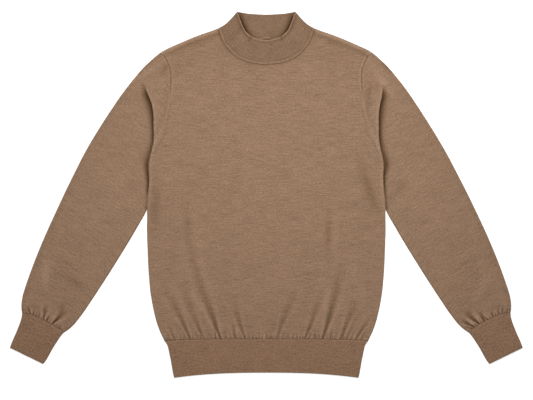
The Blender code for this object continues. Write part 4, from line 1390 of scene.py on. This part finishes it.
@dataclass(frozen=True)
class Collar:
    """The mock neck: a low flat tube whose front dips, so that the inside of its back shows.

    A pair is the start and end of a smooth step, out from the centre line. The shares of the rows' heights
    are a start, an end and a count each.
    """

    cut: Cut
    creases: Rows
    rise: float = 0.9 * MM
    bow_power: float = 3.0
    height: float = 48.0 * MM
    middle: float = 1.5 * MM
    corner: tuple[float, float] = (58 * MM, 366 * MM)
    side_begins: tuple[float, float] = (20 * MM, 44 * MM)
    slit_width: float = 9.5 * MM
    inside_side_begins: tuple[float, float] = (12 * MM, 44 * MM)
    inside_slit_width: float = 12 * MM
    inside_shade: float = 0.82
    inside_reach: float = 6.0 * MM
    inside_power: float = 1.6
    height_rows: tuple[tuple[float, float, int], ...] = ((0.0, 0.09, 8), (0.09, 0.80, 22), (0.80, 1.0, 16))
    walls: tuple[tuple[Rows, Rows, int], ...] = (
        (FRONT_NECKLINE, COLLAR_FRONT_EDGE, 170),
        (BACK_NECKLINE, COLLAR_BACK_EDGE, 110),
    )

    def past_corner(self, cloth: Cloth, width: float) -> Array:
        """From 0 at the two upper corners, where the lip turns into the fold, to 1 away from them."""
        out, along = self.corner
        return 1.0 - hump(np.hypot(np.abs(cloth.x) - out, cloth.y - along), width)

    def wall(
        self, seam: Line, edge: Line, shares: Array, height: Array, bow: Array, clearance: Array
    ) -> Array:
        """Places of one wall: straight from its seam to its edge, bowed towards the collar's sides.

        Args:
            seam: Its seam with the body.
            edge: Its upper edge.
            shares: Shares of the way from left to right.
            height: Shares of the way up, one a row.
            bow: Shift of the folded side from straight, one a row.
            clearance: Gap from the seam at each share.

        Returns:
            Places by row and share.
        """
        low = seam.at(shares) + clearance[:, None] * seam.left_of(shares)
        high = edge.at(shares)
        place = (1.0 - height)[:, None, None] * low[None] + height[:, None, None] * high[None]
        spread = np.abs(2 * shares - 1.0) ** self.bow_power
        place[..., 0] += np.sign(shares - 0.5)[None] * spread[None] * bow[:, None, 0]
        place[..., 1] += spread[None] * bow[:, None, 1]
        return place

    def dressed(self, cloth: Cloth, run: Array) -> None:
        """Add the front's linked seam, lip, slit and tucks, with their painted shade and highlights.

        Args:
            cloth: The collar's cloth.
            run: Lengths up from the seam.
        """
        cloth.trim(run, COLLAR_SEAM)
        offset, _ = whole(COLLAR_LIP).measure(cloth.x, cloth.y)
        side = eased(np.abs(cloth.x), *self.side_begins)
        cloth.trim(offset, COLLAR_LIP_ALL)
        cloth.trim(offset, COLLAR_LIP_SIDE, side)
        cloth.trim(offset, COLLAR_LIP_SIDE_SHADE, self.past_corner(cloth, 9 * MM) * side)
        cloth.trim(offset, COLLAR_SLIT, hump(cloth.x - self.middle, self.slit_width))
        for row in self.creases:
            Crease(*row).apply(cloth)

    def inside(self, cloth: Cloth) -> None:
        """Add painted shade where the raised front shades the inside of the back, deepest at the sides, and
        painted highlights at the slit and the back edge.

        Args:
            cloth: The collar's cloth.
        """
        offset, _ = whole(COLLAR_FRONT_EDGE).measure(cloth.x, cloth.y)
        shown = np.maximum(offset, 0.0)
        side = eased(np.abs(cloth.x), *self.inside_side_begins)
        shade = fallen(shown, self.inside_reach, self.inside_power)
        cloth.add(self.past_corner(cloth, 8 * MM) * side * shade, 0.0, -self.inside_shade)
        cloth.add((1.0 - side) * np.exp(-shown / (2.4 * MM)), 0.0, -0.2)
        cloth.trim(offset, COLLAR_INSIDE_SLIT, hump(cloth.x - self.middle, self.inside_slit_width))
        cloth.trim(whole(COLLAR_BACK_EDGE).distance(cloth.x, cloth.y), COLLAR_INSIDE_EDGE)

    def build(self, finish: bpy.types.Material) -> bpy.types.Object:
        """Make the collar: front wall from left to right, round the fold, back wall from right to left.

        Args:
            finish: Its material.

        Returns:
            The finished object.
        """
        side = Line(COLLAR_SIDE)
        stretches = [np.linspace(low, high, count)[:-1] for low, high, count in self.height_rows]
        height = np.concatenate((*stretches, [1.0]))
        straight = (1.0 - height)[:, None] * side.points[0] + height[:, None] * side.points[-1]
        bow = side.at(height) - straight
        made = []
        for low, high, count in self.walls:
            seam = whole(low)
            rim = MEASURES.rim / seam.length
            shares = np.concatenate((rim, np.linspace(rim[-1], 1.0 - rim[-1], count)[1:-1], 1.0 - rim[::-1]))
            from_corner = np.minimum(shares, 1.0 - shares) * seam.length
            clearance = MEASURES.seam_gap + MEASURES.corner(from_corner)
            wall = self.wall(seam, whole(high), shares, height, bow, clearance)
            made.append((wall, from_corner, (shares - 0.5) * seam.length))
        (front, front_fold, front_across), (back, back_fold, back_across) = made
        place = np.concatenate((front, back[:, ::-1][:, 1:]), axis=1)
        x, y = place[..., 0], place[..., 1]
        on_top = (np.arange(place.shape[1]) < front.shape[1])[None, :]
        radius = MEASURES.fold_radius + self.rise * height[:, None]
        from_fold = np.concatenate((front_fold, back_fold[::-1][1:]))[None, :]
        raised = rolled(from_fold, MEASURES.fold_radius)
        run = self.height * height[:, None] + np.zeros_like(x)
        outside = Cloth(x, y)
        self.dressed(outside, run)
        inside = Cloth(x, y)
        self.inside(inside)
        across = np.concatenate((front_across, 0.5 + back_across[::-1][1:]))
        grid = Grid(
            x=x,
            y=y,
            z=radius + np.where(on_top, raised * (radius + outside.height), -raised * radius),
            across=across[None, :] + np.zeros_like(x),
            along=run + MEASURES.past_linking,
            tone=np.where(on_top, outside.tone, inside.tone),
        )
        return grid.piece(self.cut, finish, turned=False)


@dataclass(frozen=True)
class SoftLight:
    """A square soft light that faces the garment's centre."""

    name: str
    place: tuple[float, float, float]
    size: float
    energy: float

    def build(self) -> None:
        """Hang the light, turned towards the origin, out of the camera's sight."""
        lamp = bpy.data.lights.new(self.name, "AREA")
        lamp.shape = "SQUARE"
        lamp.size = self.size
        lamp.energy = self.energy
        stand = placed(self.name, lamp)
        x, y, z = self.place
        stand.location = self.place
        stand.rotation_euler = (math.atan2(math.hypot(x, y), z), 0.0, math.atan2(y, x) + math.pi / 2)
        stand.visible_camera = False


@dataclass(frozen=True)
class Studio:
    """The pale floor, the soft lights and the camera straight above."""

    frame_width: float = 1.066
    focal: float = 100.0
    sensor: float = 36.0
    sight: float = 50.0
    centre: tuple[float, float] = (0.0004, -0.0108)
    subject_height: float = 0.004
    floor_size: float = 9.0
    floor_drop: float = 0.2 * MM
    floor_glow: float = 0.6
    ambient: float = 0.23
    lights: tuple[SoftLight, ...] = (
        SoftLight("overhead", (0.108, 0.324, 1.0), 1.0, 10.7),
        SoftLight("left side", (-1.029, 0.268, 1.0), 1.4, 3.75),
    )

    def floor(self) -> None:
        """A plain pale sheet under the garment, a little luminous like a light table."""
        mesh = bpy.data.meshes.new("floor")
        half, low = self.floor_size / 2, -self.floor_drop
        corners = [(-half, -half, low), (half, -half, low), (half, half, low), (-half, half, low)]
        mesh.from_pydata(corners, [], [(0, 1, 2, 3)])
        surface = bpy.data.materials.new("floor")
        surface.use_nodes = True
        Nodes(surface.node_tree).feed(
            surface.node_tree.nodes["Principled BSDF"],
            Base_Color=(0.8, 0.8, 0.8, 1.0), Roughness=0.9,
            Emission_Color=(1.0, 1.0, 1.0, 1.0), Emission_Strength=self.floor_glow,
        )
        mesh.materials.append(surface)
        placed("floor", mesh)

    def camera(self) -> None:
        """A long lens straight above, framed so that the photograph's width spans the frame width."""
        lens = bpy.data.cameras.new("camera")
        lens.lens = self.focal
        lens.sensor_width = self.sensor
        lens.clip_end = self.sight
        eye = placed("camera", lens)
        distance = self.frame_width * self.focal / self.sensor
        eye.location = (*self.centre, distance + self.subject_height)
        bpy.context.scene.camera = eye

    def world(self) -> None:
        """Even white light from all round."""
        sky = bpy.data.worlds.new("studio")
        sky.use_nodes = True
        background = sky.node_tree.nodes["Background"]
        Nodes(sky.node_tree).feed(background, Color=(1.0, 1.0, 1.0, 1.0), Strength=self.ambient)
        bpy.context.scene.world = sky

    def build(self) -> None:
        """Set the studio up."""
        self.floor()
        for light in self.lights:
            light.build()
        self.camera()
        self.world()
        bpy.context.scene.view_settings.view_transform = "Standard"


JERSEY = (0.297, 0.1835, 0.1155)
BODY_KNIT, BACK_KNIT, SLEEVE_KNIT = (
    KnitFinish(name, JERSEY, streaks=1.2, specks=1.3, clouds=0.35, ribbed=False, linked=0.5)
    for name in ("body_knit", "back_knit", "sleeve_knit")
)
RIB_KNIT, COLLAR_KNIT = (
    KnitFinish(
        name, yarn, streaks=0.75, specks=specks, clouds=0.25, ribbed=True, linked=0.0, grain=(1.0, 0.62)
    )
    for name, yarn, specks in (
        ("rib_knit", (0.268, 0.157, 0.0945), 1.55),
        ("collar_knit", (0.230, 0.140, 0.0855), 1.35),
    )
)


@dataclass
class Sweater:
    """The whole garment."""

    groups: Groups = field(default_factory=Groups)

    def body(self) -> list[bpy.types.Object]:
        """Make the back, the front, the hem band and the collar.

        Returns:
            The pieces.
        """
        hem = Gathering(HEM_GATHERS)
        back = BodyPanel(
            Cut("back_panel", "body_back", 0.476, 0.638, 0.2655, 1.3 * MM),
            Layer.BACK, whole(BACK_NECKLINE), hem, column_step=4.0,
        )
        front = BodyPanel(
            Cut("front_panel", "body_front", 0.476, 0.638, 0.258, 1.3 * MM, ("back_panel",)),
            Layer.FRONT, whole(FRONT_NECKLINE), hem, BODY_CREASES,
        )
        band = RibTube(
            Cut("hem_band_knit", "hem_band", 0.800, 0.070, 0.0534, 1.6 * MM),
            Line(tuple((-out, along) for out, along in BAND_SIDE)), Line(BAND_SIDE),
            mirrored=False, turned=True, corner=0.55 * MM, seam_light=0.3,
            seam_arch=(HEM_ARCH, HEM_ARCH_POWER), end_arch=(BAND_ARCH, BAND_ARCH_POWER),
        )
        collar = Collar(Cut("collar_knit", "collar", 0.440, 0.055, 0.0176, 1.8 * MM), COLLAR_CREASES)
        return [
            back.build(BACK_KNIT.material(self.groups)),
            front.build(BODY_KNIT.material(self.groups)),
            band.build(RIB_KNIT.material(self.groups)),
            collar.build(COLLAR_KNIT.material(self.groups)),
        ]

    def arm(
        self, side: Side, gathers: Rows, creases: Rows, pleat: Rows, spread: float, seam_arch: float
    ) -> list[bpy.types.Object]:
        """Make a sleeve and its cuff.

        Args:
            side: The photograph's left or right.
            gathers: Gathers above the cuff.
            creases: Creases of the sleeve's top.
            pleat: The pleat beside the armpit.
            spread: How far out its outer edge lies from the table's, in millimetres.
            seam_arch: How far the cuff's seam arches upwards, in millimetres.

        Returns:
            The two pieces.
        """
        label = side.name.lower()
        sleeve = Sleeve(
            Cut(f"sleeve_{label}_knit", f"sleeve_{label}", 0.330, 0.620, 0.143, 1.3 * MM),
            side, gathers, creases, Pleat(pleat), spread, seam_arch,
        )
        cuff = RibTube(
            Cut(f"cuff_{label}_knit", f"cuff_{label}", 0.186, 0.075, 0.0120, 1.6 * MM),
            Line(CUFF_INNER_EDGE), Line(CUFF_OUTER_EDGE),
            mirrored=side is Side.LEFT, turned=side is Side.RIGHT, row_step=2.4, column_step=1.8,
            seam_arch=(seam_arch, MEASURES.cuff_arch_power),
            seam_light=0.1, inner_shade=0.24, light=0.05 if side is Side.RIGHT else 0.0,
        )
        knit = bpy.data.materials.get(SLEEVE_KNIT.name) or SLEEVE_KNIT.material(self.groups)
        return [sleeve.build(knit), cuff.build(bpy.data.materials[RIB_KNIT.name])]

    def build(self) -> list[bpy.types.Object]:
        """Make every piece in the order in which a maker joins them.

        Returns:
            The pieces.
        """
        return [
            *self.body(),
            *self.arm(Side.LEFT, LEFT_CUFF_GATHERS, LEFT_SLEEVE_CREASES, LEFT_PLEAT, 1.7, 5.6),
            *self.arm(Side.RIGHT, RIGHT_CUFF_GATHERS, RIGHT_SLEEVE_CREASES, RIGHT_PLEAT, -1.7, 7.0),
        ]


def main() -> None:
    """Build the garment and the studio."""
    logging.basicConfig(level=logging.INFO, format="%(message)s")
    pieces = Sweater().build()
    Studio().build()
    LOG.info("%d knit pieces", len(pieces))


if __name__ == "__main__":
    main()
